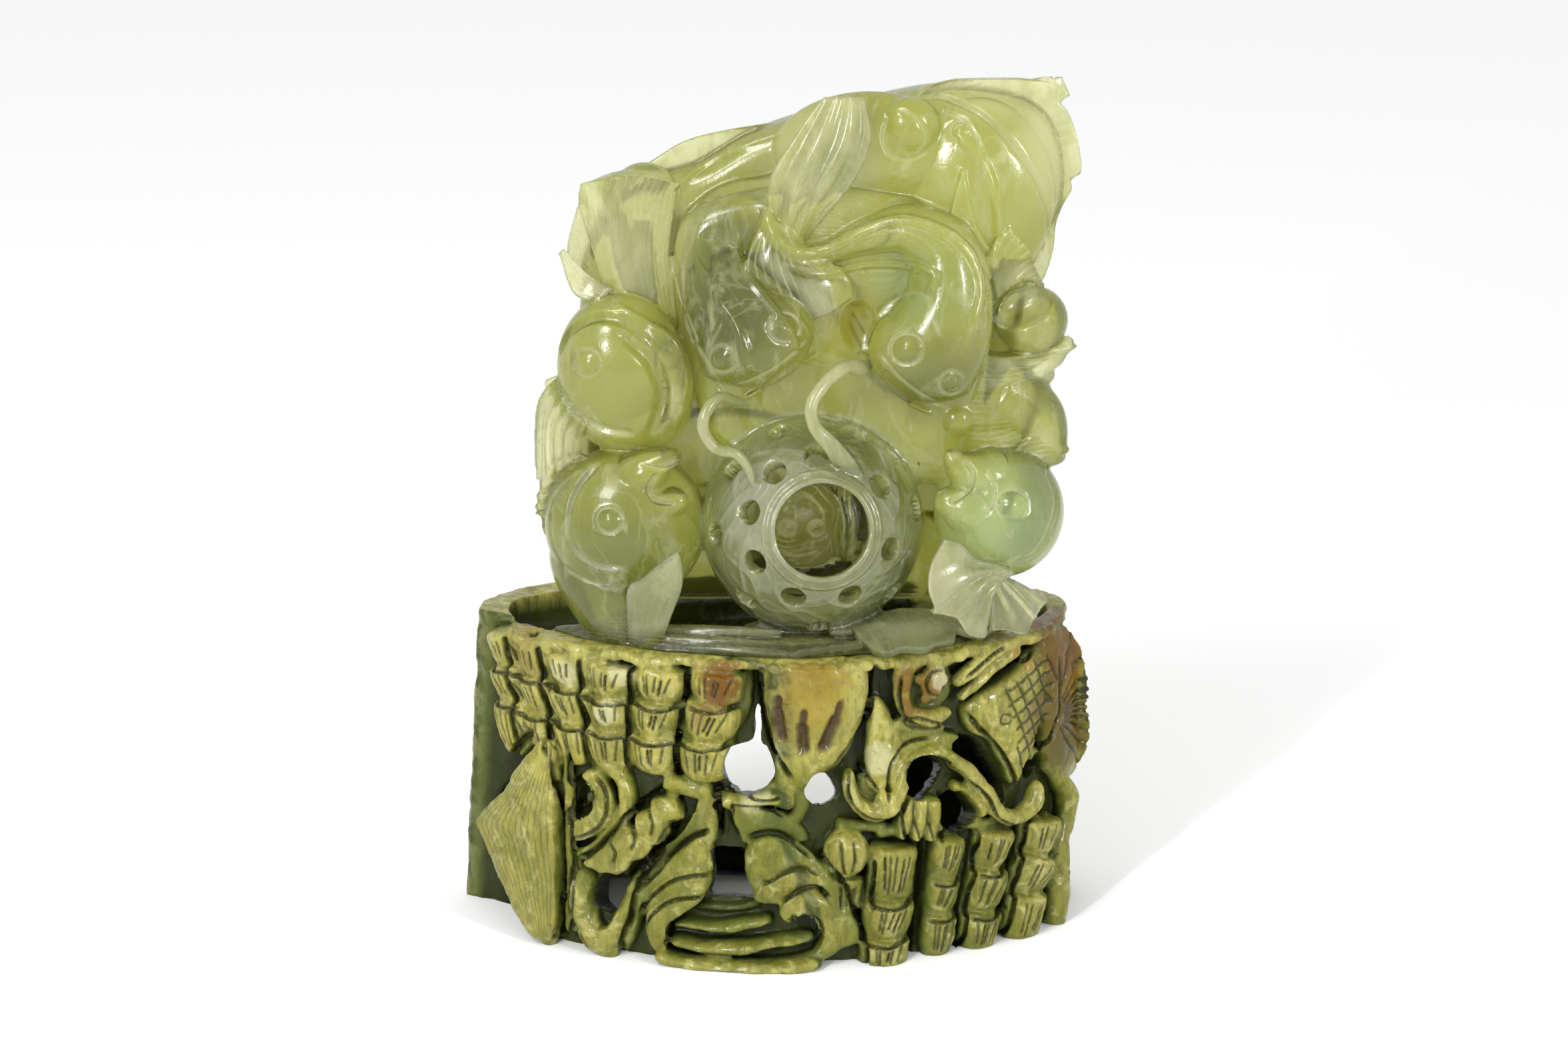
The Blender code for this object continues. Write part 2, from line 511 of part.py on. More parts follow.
def cup_strings(clay):
    """Strings of cups at the upper left under the rim and at the lower right."""
    for width, stops in (
        (4.6, [(-79, 88), (-78, 78.5), (-76.5, 69), (-74, 55)]),
        (4.8, [(-70.5, 89), (-69.5, 78.5), (-69, 69), (-68, 58)]),
        (5.6, [(-60, 89), (-60.5, 77.5), (-58.5, 67), (-57, 58)]),
        (6.5, [(-47.5, 88), (-48.5, 76), (-48, 66), (-48, 55)]),
        (6.5, [(-33, 88), (-34, 76), (-35, 66.5), (-35, 56)]),
        (7.0, [(-18, 89), (-19, 76), (-21, 66), (-21, 56)]),
        (6.6, [(34.5, 34), (33.5, 19), (32.5, 7), (31, -1)]),
        (5.0, [(49.5, 34), (48.5, 25), (47.5, 18.5), (47, 11.5), (45.5, -1)]),
        (6.2, [(62, 33), (61, 23), (59.5, 11), (57, -1)]),
        (5.8, [(78, 35), (76, 24), (73, 13), (70, 0)]),
    ):
        cups(clay, stops, width)
    lump(clay, wall(19.5, 29, -3), (5.6, 5.6, 5.6), sides=12)
    cups(clay, [(21.5, 24), (23, 13)], 4)


def pod(clay):
    """The lotus pod: a fluted cone with seeds on its flat top."""
    sizes = [14.2, 14.2, 13, 10, 5, 1.5]
    stations = [(11.5, 88), (11.5, 81), (11.5, 74), (10.5, 66), (8, 58), (7, 51)]
    carve(clay, stations, sizes, [8, 8, 8, 7, 5, 2], -3, sides=20, flutes=9, blunt=0.03)
    for row, places in ((0, (-10, -4, 3, 10)), (-4, (-7, 0, 7))):
        for across in places:
            lump(clay, wall(11.5 + across, 88.4, row - 2.5), (2.2, 2.0, 1.8), sides=8)


def left_carving(clay):
    """A big pointed leaf, a hook, a rolled leaf with its open end, and the waves beside them."""
    near = [(-65, 60), (-75, 46), (-84.5, 33.5), (-77, 18), (-67, 2)]
    far = [(-62, 60), (-61, 46), (-61, 32), (-61, 18), (-63, 4)]
    leaf(clay, near, far, thick=16, out=-8, bulge=1.5)
    carve(clay, [(-59.5, 60), (-58.5, 36), (-60, 10)], [1.6, 2.2, 1.6], out=-1.5)
    carve(clay, [(-54, 54), (-48, 51), (-46, 44), (-51, 37.5), (-58, 33)], [3, 4, 4, 4.4, 4], out=-1.5)
    ribbon = [(-51, 56), (-41, 53), (-42, 46), (-47, 38), (-54, 30), (-58, 24)]
    carve(clay, ribbon, [2.6, 3, 3, 3, 3, 2.4], out=-3.5)
    for x, z in ((-32, 47), (-36.5, 41.5), (-42, 36), (-49, 30)):
        carve(clay, [(x - 3.5, z - 4), (x + 4, z + 3.5)], [4.4, 4.4], out=-3)
    lip = [(-30, 45), (-35, 39.5), (-43, 29), (-47.5, 25.5), (-56, 24.5)]
    carve(clay, lip, [1.6, 2, 2, 2, 1.8], out=-0.8)
    mouth = [(-56, 25), (-59, 16), (-57, 8), (-51, 2), (-44, 10), (-40.5, 20), (-42, 26)]
    carve(clay, mouth, [3, 3.4, 3.4, 3.6, 3.4, 3, 2.4], out=-2.5)
    carve(clay, [(-35, 50), (-29, 46), (-25, 40), (-31, 32), (-38, 25)], [3, 3.4, 3.4, 3.2, 2], out=-4)
    carve(clay, [(-27, 48), (-22.5, 48), (-21.5, 42), (-24, 36)], [2.6, 3, 3, 2], out=-4)
    carve(clay, [(-17, 34), (-24, 33), (-31, 28.5), (-37, 22)], [3.6, 4.8, 4.4, 2], out=-2.5, flutes=5)
    carve(clay, [(-17.5, 26.5), (-26, 26), (-33, 20.5), (-37, 13)], [3.6, 4.8, 4.4, 2], out=-2, flutes=5)
    carve(clay, [(-20, 20), (-28, 19.5), (-34, 14), (-36, 7)], [3.2, 4.6, 4.2, 2.4], out=-1.5, flutes=5)


def middle_carving(clay):
    """Stems that frame the openings, a scroll of scalloped waves and the wave panel at the foot."""
    stem = [(-32, 52), (-20, 49), (-8, 47), (3, 47), (12, 45), (24, 46)]
    carve(clay, stem, [4, 3, 3.4, 3.6, 3, 4], out=-4)
    carve(clay, [(-10, 86), (-11, 76), (-16, 68), (-18, 58), (-14, 51)], [2, 2, 2.6, 2.6, 3], out=-4)
    carve(clay, [(7, 54), (3, 50), (4, 44), (0, 38)], [3, 3, 3, 3], out=-4.5)
    carve(clay, [(-16.5, 50), (-16.5, 37)], [2, 2], out=-7)
    carve(clay, [(-10, 47), (-8, 40), (-7, 34)], [3.4, 3.8, 3], out=-4)
    carve(clay, [(2, 44), (8, 38), (14, 33)], [4, 5, 4], out=-4.5)
    scroll = [(-8, 31), (-4, 35.5), (4, 36.5), (13, 32), (18, 24), (25, 14)]
    carve(clay, scroll, [3, 4, 4.4, 4, 4, 4], out=-2.5)
    carve(clay, [(-6, 19), (-2.5, 25), (4, 28), (11, 26), (15, 19)], [2.6, 3.6, 4, 3.8, 3], out=-2)
    carve(clay, [(1, 14), (3.5, 19), (9, 20), (13, 15), (15, 8)], [2.4, 3.2, 3.4, 3.4, 3], out=-1.5)
    for left, middle, right in (
        ((-27, 13), (-12, 13), (-3, 17)),
        ((-31, 8.5), (-12, 8.5), (4, 11)),
        ((-32, 4), (-8, 3), (14, 6)),
        ((-31, 0), (-6, -1), (22, 2)),
    ):
        carve(clay, [left, middle, right], [2.4, 2.8, 2.4], [4, 5, 4], -3)
    carve(clay, [(16, 22), (22, 12), (26, 3)], [3, 5, 5], out=-4)


def right_carving(clay):
    """A scaled fish under stems, a snail, folded leaves and a ribbon, and the shell at the right edge."""
    near = [(53, 71), (60, 73), (67, 75), (73, 83), (79, 77)]
    far = [(54, 66), (59, 62), (64, 58), (67, 51), (71, 44)]
    leaf(clay, near, far, tip=[(79, 77), (79.5, 65), (76, 54), (71, 44)], thick=8, out=-4, bulge=3)
    carve(clay, [(71, 90), (62, 86), (53, 81)], [2.6, 3, 2.6], out=-2)
    carve(clay, [(69, 84), (60, 80), (50, 74)], [2.6, 3, 2.6], out=-2.5)
    snail = [(46, 87), (38, 86), (34.5, 79), (39, 73), (46, 73), (49, 79)]
    carve(clay, snail, [2.4, 3, 3.2, 3, 3, 2.4], out=-1.5)
    lump(clay, wall(42.5, 82, -1), (4.2, 4, 4.2), sides=12)
    carve(clay, [(33, 69), (41, 68), (49, 67)], [5, 5.4, 4], out=-3.5)
    fold = [(50, 63), (42, 64), (36, 59), (34, 50), (29, 44), (23.5, 49), (21, 57)]
    carve(clay, fold, [3, 3.6, 3.6, 3.4, 3.4, 3.2, 2.6], out=-2)
    carve(clay, [(31, 74), (29, 64), (27, 54)], [4, 5.4, 5], out=-4.5)
    carve(clay, [(35, 46), (42, 43), (49, 40)], [5, 6.2, 4.6], out=-3, flutes=9)
    ribbon = [(46, 59), (52, 56), (57, 51.5), (61.5, 45), (66, 39), (71, 36.5), (76, 39), (77, 46)]
    carve(clay, ribbon, [2.4] * len(ribbon), out=-1.6)
    carve(clay, [(50, 50), (53, 47), (57, 44)], [3, 3.4, 3], out=-3.5)
    carve(clay, [(76, 47), (84, 42), (87, 34), (85, 24)], [3, 4, 4, 3], out=-3)
    shell = [(82, 89.5), (89, 84), (91.5, 72), (91.5, 58), (88, 41)]
    near = [(78, 66), (80, 78), (82, 89.5)]
    far = [(77, 62), (81, 52), (88, 41)]
    leaf(clay, near, far, tip=shell, thick=8, out=-4.6, ribs=8, rib=0.7, bulge=3, across=26)
    lump(clay, wall(83.5, 18, -3), (4.5, 6, 6), sides=10)
    lump(clay, wall(85, 7.5, -3), (4.5, 6, 6.5), sides=10)
    carve(clay, [(26, 39), (50, 36), (68, 34)], [3, 2.6, 2.6], out=-5)


def back_carving(clay):
    """The back, plainer: broad ribbed lotus leaves that hang from the rim."""
    for turn in range(30, 160, 24):
        places = [plan(math.radians(turn), level, 1.5) for level in (84, 74, 64)]
        draw_out(clay, places, [9, 12, 4], [3, 4, 2], outward, flutes=9)
    for turn in (38, 142):
        places = [plan(math.radians(turn), level, 1.5) for level in (2, 20, 36, 54)]
        draw_out(clay, places, [6, 9, 8, 3], [3, 4, 4, 2], outward, flutes=7)


def rod(form, start, end, half_width, half_height, sides=10):
    """A straight oval cutter from one place to another."""
    way = end - start
    side = way.cross(UP).normalized()
    turned = Matrix((side, way.cross(side).normalized(), way.normalized())).transposed().to_4x4()
    shape = Matrix.Translation((start + end) / 2) @ turned
    shape @= Matrix.Diagonal((half_width, half_height, 1, 1))
    bmesh.ops.create_cone(
        form, segments=sides, radius1=1, radius2=1, depth=way.length, cap_ends=True, matrix=shape
    )


def plan_ring(form, inner, outer, low, high, sides=SEAT_SIDES):
    """A ring cutter with the stand's plan, between two insets."""
    loops = []
    for inset, z in ((inner, low), (outer, low), (outer, high), (inner, high)):
        circle = bmesh.ops.create_circle(form, segments=sides, radius=1)["verts"]
        for vertex in circle:
            vertex.co = plan(math.atan2(vertex.co.y, vertex.co.x), z, inset)
        loops.append([edge for edge in form.edges if edge.verts[0] in circle and edge.verts[1] in circle])
    for first, second in zip(loops, loops[1:] + loops[:1]):
        bmesh.ops.bridge_loops(form, edges=first + second)
    bmesh.ops.recalc_face_normals(form, faces=form.faces[:])


def box(form, low, high):
    """A box cutter between two corners."""
    low, high = Vector(low), Vector(high)
    shape = Matrix.Translation((low + high) / 2) @ Matrix.Diagonal((*(high - low), 1))
    bmesh.ops.create_cube(form, size=1, matrix=shape)


def opening(x, z, half_width, half_height):
    """A cutter through the stand's front wall at x and z."""
    place = wall(x, z)
    way = outward(place)
    return lambda form: rod(form, place + way * 12, place - way * 21, half_width, half_height)


def stand_cuts():
    """What is cut from the stand: its flat underside and top, the seat for the carving, the hollow, the
    arch behind and the openings."""
    inside = Vector((0, PLAN_CENTRE_Y, ARCH_HEIGHT))
    outside = Vector((0, 60, ARCH_HEIGHT))
    cuts = [
        ("ground", lambda form: box(form, (-120, -80, -30), (120, 80, 0))),
        ("top", lambda form: box(form, (-120, -80, STAND_HEIGHT), (120, 80, STAND_HEIGHT + 30))),
        ("seat", lambda form: plan_block(form, RIM_WIDTH, LEDGE_HEIGHT, STAND_HEIGHT + 8)),
        ("hollow", lambda form: plan_block(form, WALL, -9, LEDGE_HEIGHT + 2)),
        ("arch", lambda form: rod(form, inside, outside, *ARCH_HALF_SIZES, 14)),
    ]
    return cuts + [("opening_" + name, opening(*sizes)) for name, sizes in OPENINGS.items()]


# ---- the two stones ---------------------------------------------------------


def evaluated_mesh(piece):
    """The mesh of an object with its modifiers applied, and its name freed."""
    graph = bpy.context.evaluated_depsgraph_get()
    mesh = bpy.data.meshes.new_from_object(piece.evaluated_get(graph))
    bpy.data.objects.remove(piece)
    return mesh


def linked_object(name, mesh):
    piece = bpy.data.objects.new(name, mesh)
    bpy.context.scene.collection.objects.link(piece)
    return piece


def largest_island(mesh):
    """Keeps only the biggest joined part of a mesh, so that no crumb or closed hollow is left."""
    form = bmesh.new()
    form.from_mesh(mesh)
    unseen = set(form.verts)
    islands = []
    while unseen:
        front = [unseen.pop()]
        island = list(front)
        while front:
            near = [edge.other_vert(vertex) for vertex in front for edge in vertex.link_edges]
            front = [vertex for vertex in set(near) if vertex in unseen]
            unseen.difference_update(front)
            island += front
        islands.append(island)
    islands.sort(key=len)
    for island in islands[:-1]:
        bmesh.ops.delete(form, geom=island, context="VERTS")
    form.to_mesh(mesh)
    form.free()


def fused(name, clay, facets):
    """Fuses the clay into one closed skin, eases it and thins it to a number of facets, in metres."""
    mesh = bpy.data.meshes.new(name)
    clay.to_mesh(mesh)
    clay.free()
    piece = linked_object(name, mesh)
    fuse = piece.modifiers.new("fuse", "REMESH")
    fuse.mode = "VOXEL"
    fuse.voxel_size = VOXEL
    ease = piece.modifiers.new("ease", "SMOOTH")
    ease.factor = 0.5
    ease.iterations = 3
    fine = evaluated_mesh(piece)
    largest_island(fine)
    piece = linked_object(name, fine)
    thin = piece.modifiers.new("thin", "DECIMATE")
    thin.ratio = facets / (2 * len(fine.polygons))
    thinned = evaluated_mesh(piece)
    thinned.transform(Matrix.Scale(MM, 4))
    thinned.name = name
    return linked_object(name, thinned)


def work_on(piece, steps, operation="DIFFERENCE"):
    """Cuts named forms from a piece, or joins them to it, with Booleans that stay on it."""
    for name, shape in steps:
        form = bmesh.new()
        shape(form)
        mesh = bpy.data.meshes.new("cut_" + name)
        bmesh.ops.transform(form, matrix=Matrix.Scale(MM, 4), verts=form.verts[:])
        form.to_mesh(mesh)
        form.free()
        cutter = linked_object("cut_" + name, mesh)
        cutter.hide_render = True
        cutter.display_type = "WIRE"
        cut = piece.modifiers.new(name, "BOOLEAN")
        cut.operation = operation
        cut.object = cutter
        cut.solver = "EXACT"


def stone(name, colour, roughness):
    material = bpy.data.materials.new(name)
    material.use_nodes = True
    shader = material.node_tree.nodes["Principled BSDF"]
    shader.inputs["Base Color"].default_value = (*colour, 1)
    shader.inputs["Roughness"].default_value = roughness
    shader.inputs["Metallic"].default_value = 0.0
    return material


def carving_cuts():
    """What is cut from the carving: the ball's hollow and holes, and the flat that it stands on."""
    hollow = BALL_RADIUS - BALL_WALL
    outside = BALL_CENTRE + WINDOW_AXIS * (BALL_RADIUS + 8)

    def small_holes(form):
        for way in small_hole_ways():
            start = BALL_CENTRE + way * (hollow - 6)
            rod(form, start, BALL_CENTRE + way * (BALL_RADIUS + 2), SMALL_HOLE_RADIUS, SMALL_HOLE_RADIUS, 8)

    return [
        ("hollow", lambda form: lump(form, BALL_CENTRE, [hollow] * 3, sides=20)),
        ("window", lambda form: rod(form, BALL_CENTRE, outside, WINDOW_RADIUS, WINDOW_RADIUS, 24)),
        ("small_holes", small_holes),
        ("foot", lambda form: box(form, (-120, -80, 50), (120, 80, LEDGE_HEIGHT + FIT_GAP))),
        ("rim", lambda form: plan_ring(form, RIM_WIDTH + FIT_GAP, -20, 60, STAND_HEIGHT + FIT_GAP)),
    ]


def ball_fish(form):
    """The little fish inside the ball, which grows from the hollow's back wall."""
    body = [BALL_FISH + Vector(step) for step in ((-7, -2, -5), (-3, -4, 0), (3, -1, 4), (9, 8, 3))]
    draw_out(form, body, [3, 5.5, 5, 2.5], [4, 7, 8, 5], sides=10, steps=10)


def make_carving():
    clay = bmesh.new()
    for sub_part in (core, diving_fish, barbels, tail_fan, ball):
        sub_part(clay)
    for sub_part in (lower_left_fish, middle_left_fish, left_fins):
        sub_part(clay)
    for sub_part in (top_right_fish, right_fins, lower_right_fish, base, back):
        sub_part(clay)
    piece = fused("fish_carving", clay, CARVING_FACETS)
    work_on(piece, carving_cuts())
    work_on(piece, [("ball_fish", ball_fish)], "UNION")
    piece.data.materials.append(stone("pale_serpentine", (0.62, 0.68, 0.36), 0.22))


def make_stand():
    clay = bmesh.new()
    for sub_part in (stand_walls, cup_strings, pod):
        sub_part(clay)
    for sub_part in (left_carving, middle_carving, right_carving, back_carving):
        sub_part(clay)
    piece = fused("stand", clay, STAND_FACETS)
    work_on(piece, stand_cuts())
    piece.data.materials.append(stone("olive_serpentine", (0.36, 0.36, 0.12), 0.4))


def main():
    for stale in list(bpy.data.objects):
        bpy.data.objects.remove(stale)
    make_carving()
    make_stand()


if __name__ == "__main__":
    main()
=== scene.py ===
# %% [markdown]
# # Goldfish on a pierced ball, in an openwork stone stand
# The work is two stones. A pale, translucent carving of goldfish playing round a hollow ball stands in
# the seat of a waxed, olive-green stand that is pierced and carved all over its front. Both are carved,
# so they are built here as a carver's clay study would be: simple forms are drawn out, fanned and laid
# over each other, fused into one skin, pierced, and then the fine lines are cut into that skin. The
# alternative, pushing one subdivided block about, gives soft shapes but no thin fins or undercuts.

# %% The frame and its unit
import math

import bmesh
import bpy
import numpy as np
from mathutils import Matrix, Vector, bvhtree, kdtree, noise


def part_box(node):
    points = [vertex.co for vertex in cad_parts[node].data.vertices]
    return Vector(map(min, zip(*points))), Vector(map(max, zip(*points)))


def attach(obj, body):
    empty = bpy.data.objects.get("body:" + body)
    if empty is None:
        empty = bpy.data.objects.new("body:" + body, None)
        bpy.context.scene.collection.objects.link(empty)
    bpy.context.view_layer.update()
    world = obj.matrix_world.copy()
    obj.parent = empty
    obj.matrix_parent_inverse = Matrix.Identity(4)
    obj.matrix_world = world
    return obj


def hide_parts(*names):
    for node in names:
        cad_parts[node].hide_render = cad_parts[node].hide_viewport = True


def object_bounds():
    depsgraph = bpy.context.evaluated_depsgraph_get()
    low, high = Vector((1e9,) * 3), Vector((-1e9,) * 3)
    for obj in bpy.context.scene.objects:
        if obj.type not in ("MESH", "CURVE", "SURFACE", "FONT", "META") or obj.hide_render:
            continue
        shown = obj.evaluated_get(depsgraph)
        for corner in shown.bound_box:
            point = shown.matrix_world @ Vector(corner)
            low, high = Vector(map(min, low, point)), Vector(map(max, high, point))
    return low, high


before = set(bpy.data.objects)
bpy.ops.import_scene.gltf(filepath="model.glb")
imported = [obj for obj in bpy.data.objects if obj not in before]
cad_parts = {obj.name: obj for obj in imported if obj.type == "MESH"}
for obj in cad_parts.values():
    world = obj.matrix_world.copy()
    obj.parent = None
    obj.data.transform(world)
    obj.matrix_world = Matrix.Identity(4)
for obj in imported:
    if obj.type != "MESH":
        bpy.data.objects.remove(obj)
cad_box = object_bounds()

STAND_HEIGHT = 90.0
MM = (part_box("stand")[1].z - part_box("stand")[0].z) / STAND_HEIGHT
FRONT = Vector((0, -1, 0))
UP = Vector((0, 0, 1))
LOOK_DOWN = math.radians(18)
SIGHT = Vector((0, math.cos(LOOK_DOWN), -math.sin(LOOK_DOWN)))
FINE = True
VOXEL = 0.45 if FINE else 0.8
PIECE_TRIANGLES = 190000 if FINE else 120000
print("one millimetre of the stand is", round(MM, 6), "m; voxel", VOXEL, "mm")

# %% [markdown]
# ## The clay forms
# Every form below is drawn in millimetres. A fish, a stem or a wave is a ball of clay drawn out along a
# smooth path, with its own width and depth at each station. A fin or a leaf is a thin sheet between two
# edge curves. Both come from a bmesh primitive whose vertices are moved along the path or sheet, which
# keeps them closed and evenly spaced. A curve object with a bevel could draw the stems, but not the
# flattened or fluted ones.


# %% Smooth paths
def through(points, share):
    """The point at a share of a smooth curve through points, or the value of a smooth row of numbers."""
    spans = len(points) - 1
    first = min(int(share * spans), spans - 1)
    f = share * spans - first
    a = points[max(first - 1, 0)]
    b = points[first]
    c = points[first + 1]
    d = points[min(first + 2, spans)]
    bend = 2 * a - 5 * b + 4 * c - d
    turn = 3 * b - a - 3 * c + d
    return 0.5 * (2 * b + (c - a) * f + bend * f * f + turn * f**3)


def vectors(points):
    return [Vector(point) for point in points]


print("halfway through 0, 1 and 4:", through([0, 1, 4], 0.5))


# %% Drawn-out forms and eggs
def mesh_of(form, name):
    """Turns a bmesh into a mesh. The bmesh goes."""
    mesh = bpy.data.meshes.new(name)
    form.to_mesh(mesh)
    form.free()
    return mesh


def add_form(clay, form):
    """Lays a closed form into the clay, its faces pointing out."""
    bmesh.ops.recalc_face_normals(form, faces=form.faces[:])
    mesh = mesh_of(form, "form")
    clay.from_mesh(mesh)
    bpy.data.meshes.remove(mesh)


FLUTE_DEPTH = 0.12


def draw_out(clay, path, widths, depths=None, facing=FRONT, sides=24, steps=44, flutes=0, blunt=0.12):
    """A ball of clay drawn out along a smooth path, its poles at the path's ends. Widths are half sizes
    across the path and depths half sizes towards facing, which may be a function of the place. Flutes
    are narrow grooves that run along it, and blunt is the share of the path that each round end takes."""
    path = vectors(path)
    depths = depths or widths
    form = bmesh.new()
    bmesh.ops.create_uvsphere(form, u_segments=sides, v_segments=steps, radius=1)
    stations = {}
    for vertex in form.verts:
        share = round(math.acos(max(-1.0, min(1.0, vertex.co.z))) / math.pi, 5)
        if share not in stations:
            along = (through(path, min(share + 0.01, 1)) - through(path, max(share - 0.01, 0))).normalized()
            place = through(path, share)
            side = along.cross(facing(place) if callable(facing) else Vector(facing)).normalized()
            to_end = min(share, 1 - share)
            end = math.sqrt(max(0.0, 1 - max(0.0, 1 - to_end / blunt) ** 2))
            across = side * through(widths, share) * end
            stations[share] = place, across, side.cross(along) * through(depths, share) * end
        place, across, out = stations[share]
        turn = math.atan2(vertex.co.y, vertex.co.x)
        groove = 1 - FLUTE_DEPTH * (1 - abs(math.sin(flutes * turn / 2)) ** 0.6) if flutes else 1
        vertex.co = place + (across * math.cos(turn) + out * math.sin(turn)) * groove
    add_form(clay, form)


def lump(clay, centre, radii, sides=32, turned=None):
    """An egg-shaped lump."""
    form = bmesh.new()
    bmesh.ops.create_uvsphere(form, u_segments=sides, v_segments=sides * 2 // 3, radius=1)
    shape = Matrix.Translation(centre) @ (turned or Matrix.Identity(4)) @ Matrix.Diagonal((*radii, 1))
    bmesh.ops.transform(form, matrix=shape, verts=form.verts[:])
    add_form(clay, form)


trial = bmesh.new()
lump(trial, (0, 0, 0), (10, 10, 10))
print("an egg has", len(trial.faces), "faces")
trial.free()

# %% Sheets, and the fine lines that run along them
combed = []


def sheet_between(near, far, tip=None, across=40, along=30):
    """A grid laid between two edge curves, and each of its vertices' shares across and along."""
    near = vectors(near)
    far = vectors(far)
    tip = vectors(tip) if tip else [near[-1], far[-1]]
    sheet = bmesh.new()
    bmesh.ops.create_grid(sheet, x_segments=across, y_segments=along, size=1)
    shares = {vertex: ((vertex.co.x + 1) / 2, (vertex.co.y + 1) / 2) for vertex in sheet.verts}
    for vertex, (u, v) in shares.items():
        straight = near[-1].lerp(far[-1], u)
        edge = (through(tip, u) - straight) * v * v
        vertex.co = through(near, v).lerp(through(far, v), u) + edge
    bmesh.ops.recalc_face_normals(sheet, faces=sheet.faces[:])
    if sum((face.normal for face in sheet.faces), Vector()).dot(FRONT) < 0:
        bmesh.ops.reverse_faces(sheet, faces=sheet.faces[:])
    sheet.normal_update()
    return sheet, shares


def remember_lines(sheet, shares, lines, reach):
    """Keeps a sheet's shape for the fine lines that are combed on to the finished skin."""
    tree = bvhtree.BVHTree.FromBMesh(sheet)
    corners = [[(vertex.co.copy(), shares[vertex]) for vertex in face.verts] for face in sheet.faces]
    combed.append((tree, corners, lines, reach))


def fan(clay, near, far, thick=2.2, tip=None, ribs=0, rib=0.0, bulge=0.0, lines=0, across=40, along=30):
    """A fin or leaf: a sheet between two edge curves that start at its root. Tip is its third edge,
    ribs run from root to tip, rib is their height and bulge lifts its middle. Lines is how many fine
    lines run from root to tip."""
    sheet, shares = sheet_between(near, far, tip, across, along)
    lifts = {}
    for vertex, (u, v) in shares.items():
        ripple = rib * math.cos(2 * math.pi * ribs * u) * min(1, 3 * v)
        lifts[vertex] = vertex.normal * (ripple + bulge * 4 * u * (1 - u) + thick / 2)
    for vertex, lift in lifts.items():
        vertex.co += lift
    if lines:
        remember_lines(sheet, shares, lines, 0)
    bmesh.ops.solidify(sheet, geom=sheet.faces[:], thickness=thick)
    add_form(clay, sheet)


def strip(near, far, lines, reach=9):
    """Fine lines on the skin between two curves, running along them. No clay is added."""
    sheet, shares = sheet_between(near, far, across=12, along=40)
    remember_lines(sheet, shares, lines, reach)
    sheet.free()


print("fins, leaves and fine lines ready")


# %% Slabs and rings
def tell(what):
    """Says how big the clay has grown."""
    print("faces in the clay with", what + ":", len(clay.faces))


def slab(clay, outline, front, back, rounding):
    """A block with a smooth outline of (x, z) places, its edges rounded over."""
    form = bmesh.new()
    smooth = [through(vectors(outline), step / (6 * len(outline))) for step in range(6 * len(outline) + 1)]
    face = form.faces.new([form.verts.new((place.x, back, place.y)) for place in smooth])
    grown = bmesh.ops.extrude_face_region(form, geom=[face])
    lifted = [part for part in grown["geom"] if isinstance(part, bmesh.types.BMVert)]
    bmesh.ops.translate(form, verts=lifted, vec=(0, front - back, 0))
    rims = [edge for edge in form.edges if abs(edge.verts[0].co.y - edge.verts[1].co.y) < 0.1]
    bmesh.ops.bevel(form, geom=rims, offset=rounding, affect="EDGES", segments=6, profile=0.5, material=-1)
    add_form(clay, form)


def ring(clay, centre, facing, radius, thick, steps=48):
    """A round wire ring that lies square to facing."""
    form = bmesh.new()
    upright = Matrix.Translation((radius, 0, 0)) @ Matrix.Rotation(math.pi / 2, 4, "X")
    wire = bmesh.ops.create_circle(form, segments=12, radius=thick, matrix=upright)
    geom = wire["verts"] + form.edges[:]
    bmesh.ops.spin(form, geom=geom, axis=(0, 0, 1), angle=2 * math.pi, steps=steps, use_merge=True)
    placed = Matrix.Translation(centre) @ Vector(facing).to_track_quat("Z", "Y").to_matrix().to_4x4()
    bmesh.ops.transform(form, matrix=placed, verts=form.verts[:])
    add_form(clay, form)


print("slabs and rings ready, and the clay can tell its size")

# %% [markdown]
# ## From clay to stone
# The forms overlap, so a voxel remesh fuses them into one skin, and a little smoothing takes its steps
# away. The hollows and holes are then cut with Booleans, whose Manifold solver is made for dense closed
# meshes. A Boolean union of the forms would keep every crease hard, and carved stone has none.


# %% Fusing, cutting and thinning
def as_object(name, mesh):
    """Puts a mesh, a lamp or a camera into the scene."""
    piece = bpy.data.objects.new(name, mesh)
    bpy.context.scene.collection.objects.link(piece)
    return piece


def applied(piece):
    """The mesh of an object with its modifiers applied. The object itself goes."""
    graph = bpy.context.evaluated_depsgraph_get()
    mesh = bpy.data.meshes.new_from_object(piece.evaluated_get(graph))
    bpy.data.objects.remove(piece)
    return mesh


def ease(piece, times=2):
    """Smooths a skin a little, as a carver rubs down fresh edges."""
    smooth = piece.modifiers.new("ease", "SMOOTH")
    smooth.factor = 0.5
    smooth.iterations = times


def fused(clay, eased=2):
    """Fuses clay into one closed skin and eases it."""
    piece = as_object("clay", mesh_of(clay, "clay"))
    fuse = piece.modifiers.new("fuse", "REMESH")
    fuse.mode = "VOXEL"
    fuse.voxel_size = VOXEL
    ease(piece, eased)
    return applied(piece)


def combined(piece, others, operation):
    """The mesh of a piece joined with others, or cut by them. All the objects go."""
    for other in others:
        modifier = piece.modifiers.new("boolean", "BOOLEAN")
        modifier.operation = operation
        modifier.object = other
        modifier.solver = "MANIFOLD"
    if operation == "DIFFERENCE":
        ease(piece)
    mesh = applied(piece)
    for other in others:
        bpy.data.objects.remove(other)
    return mesh


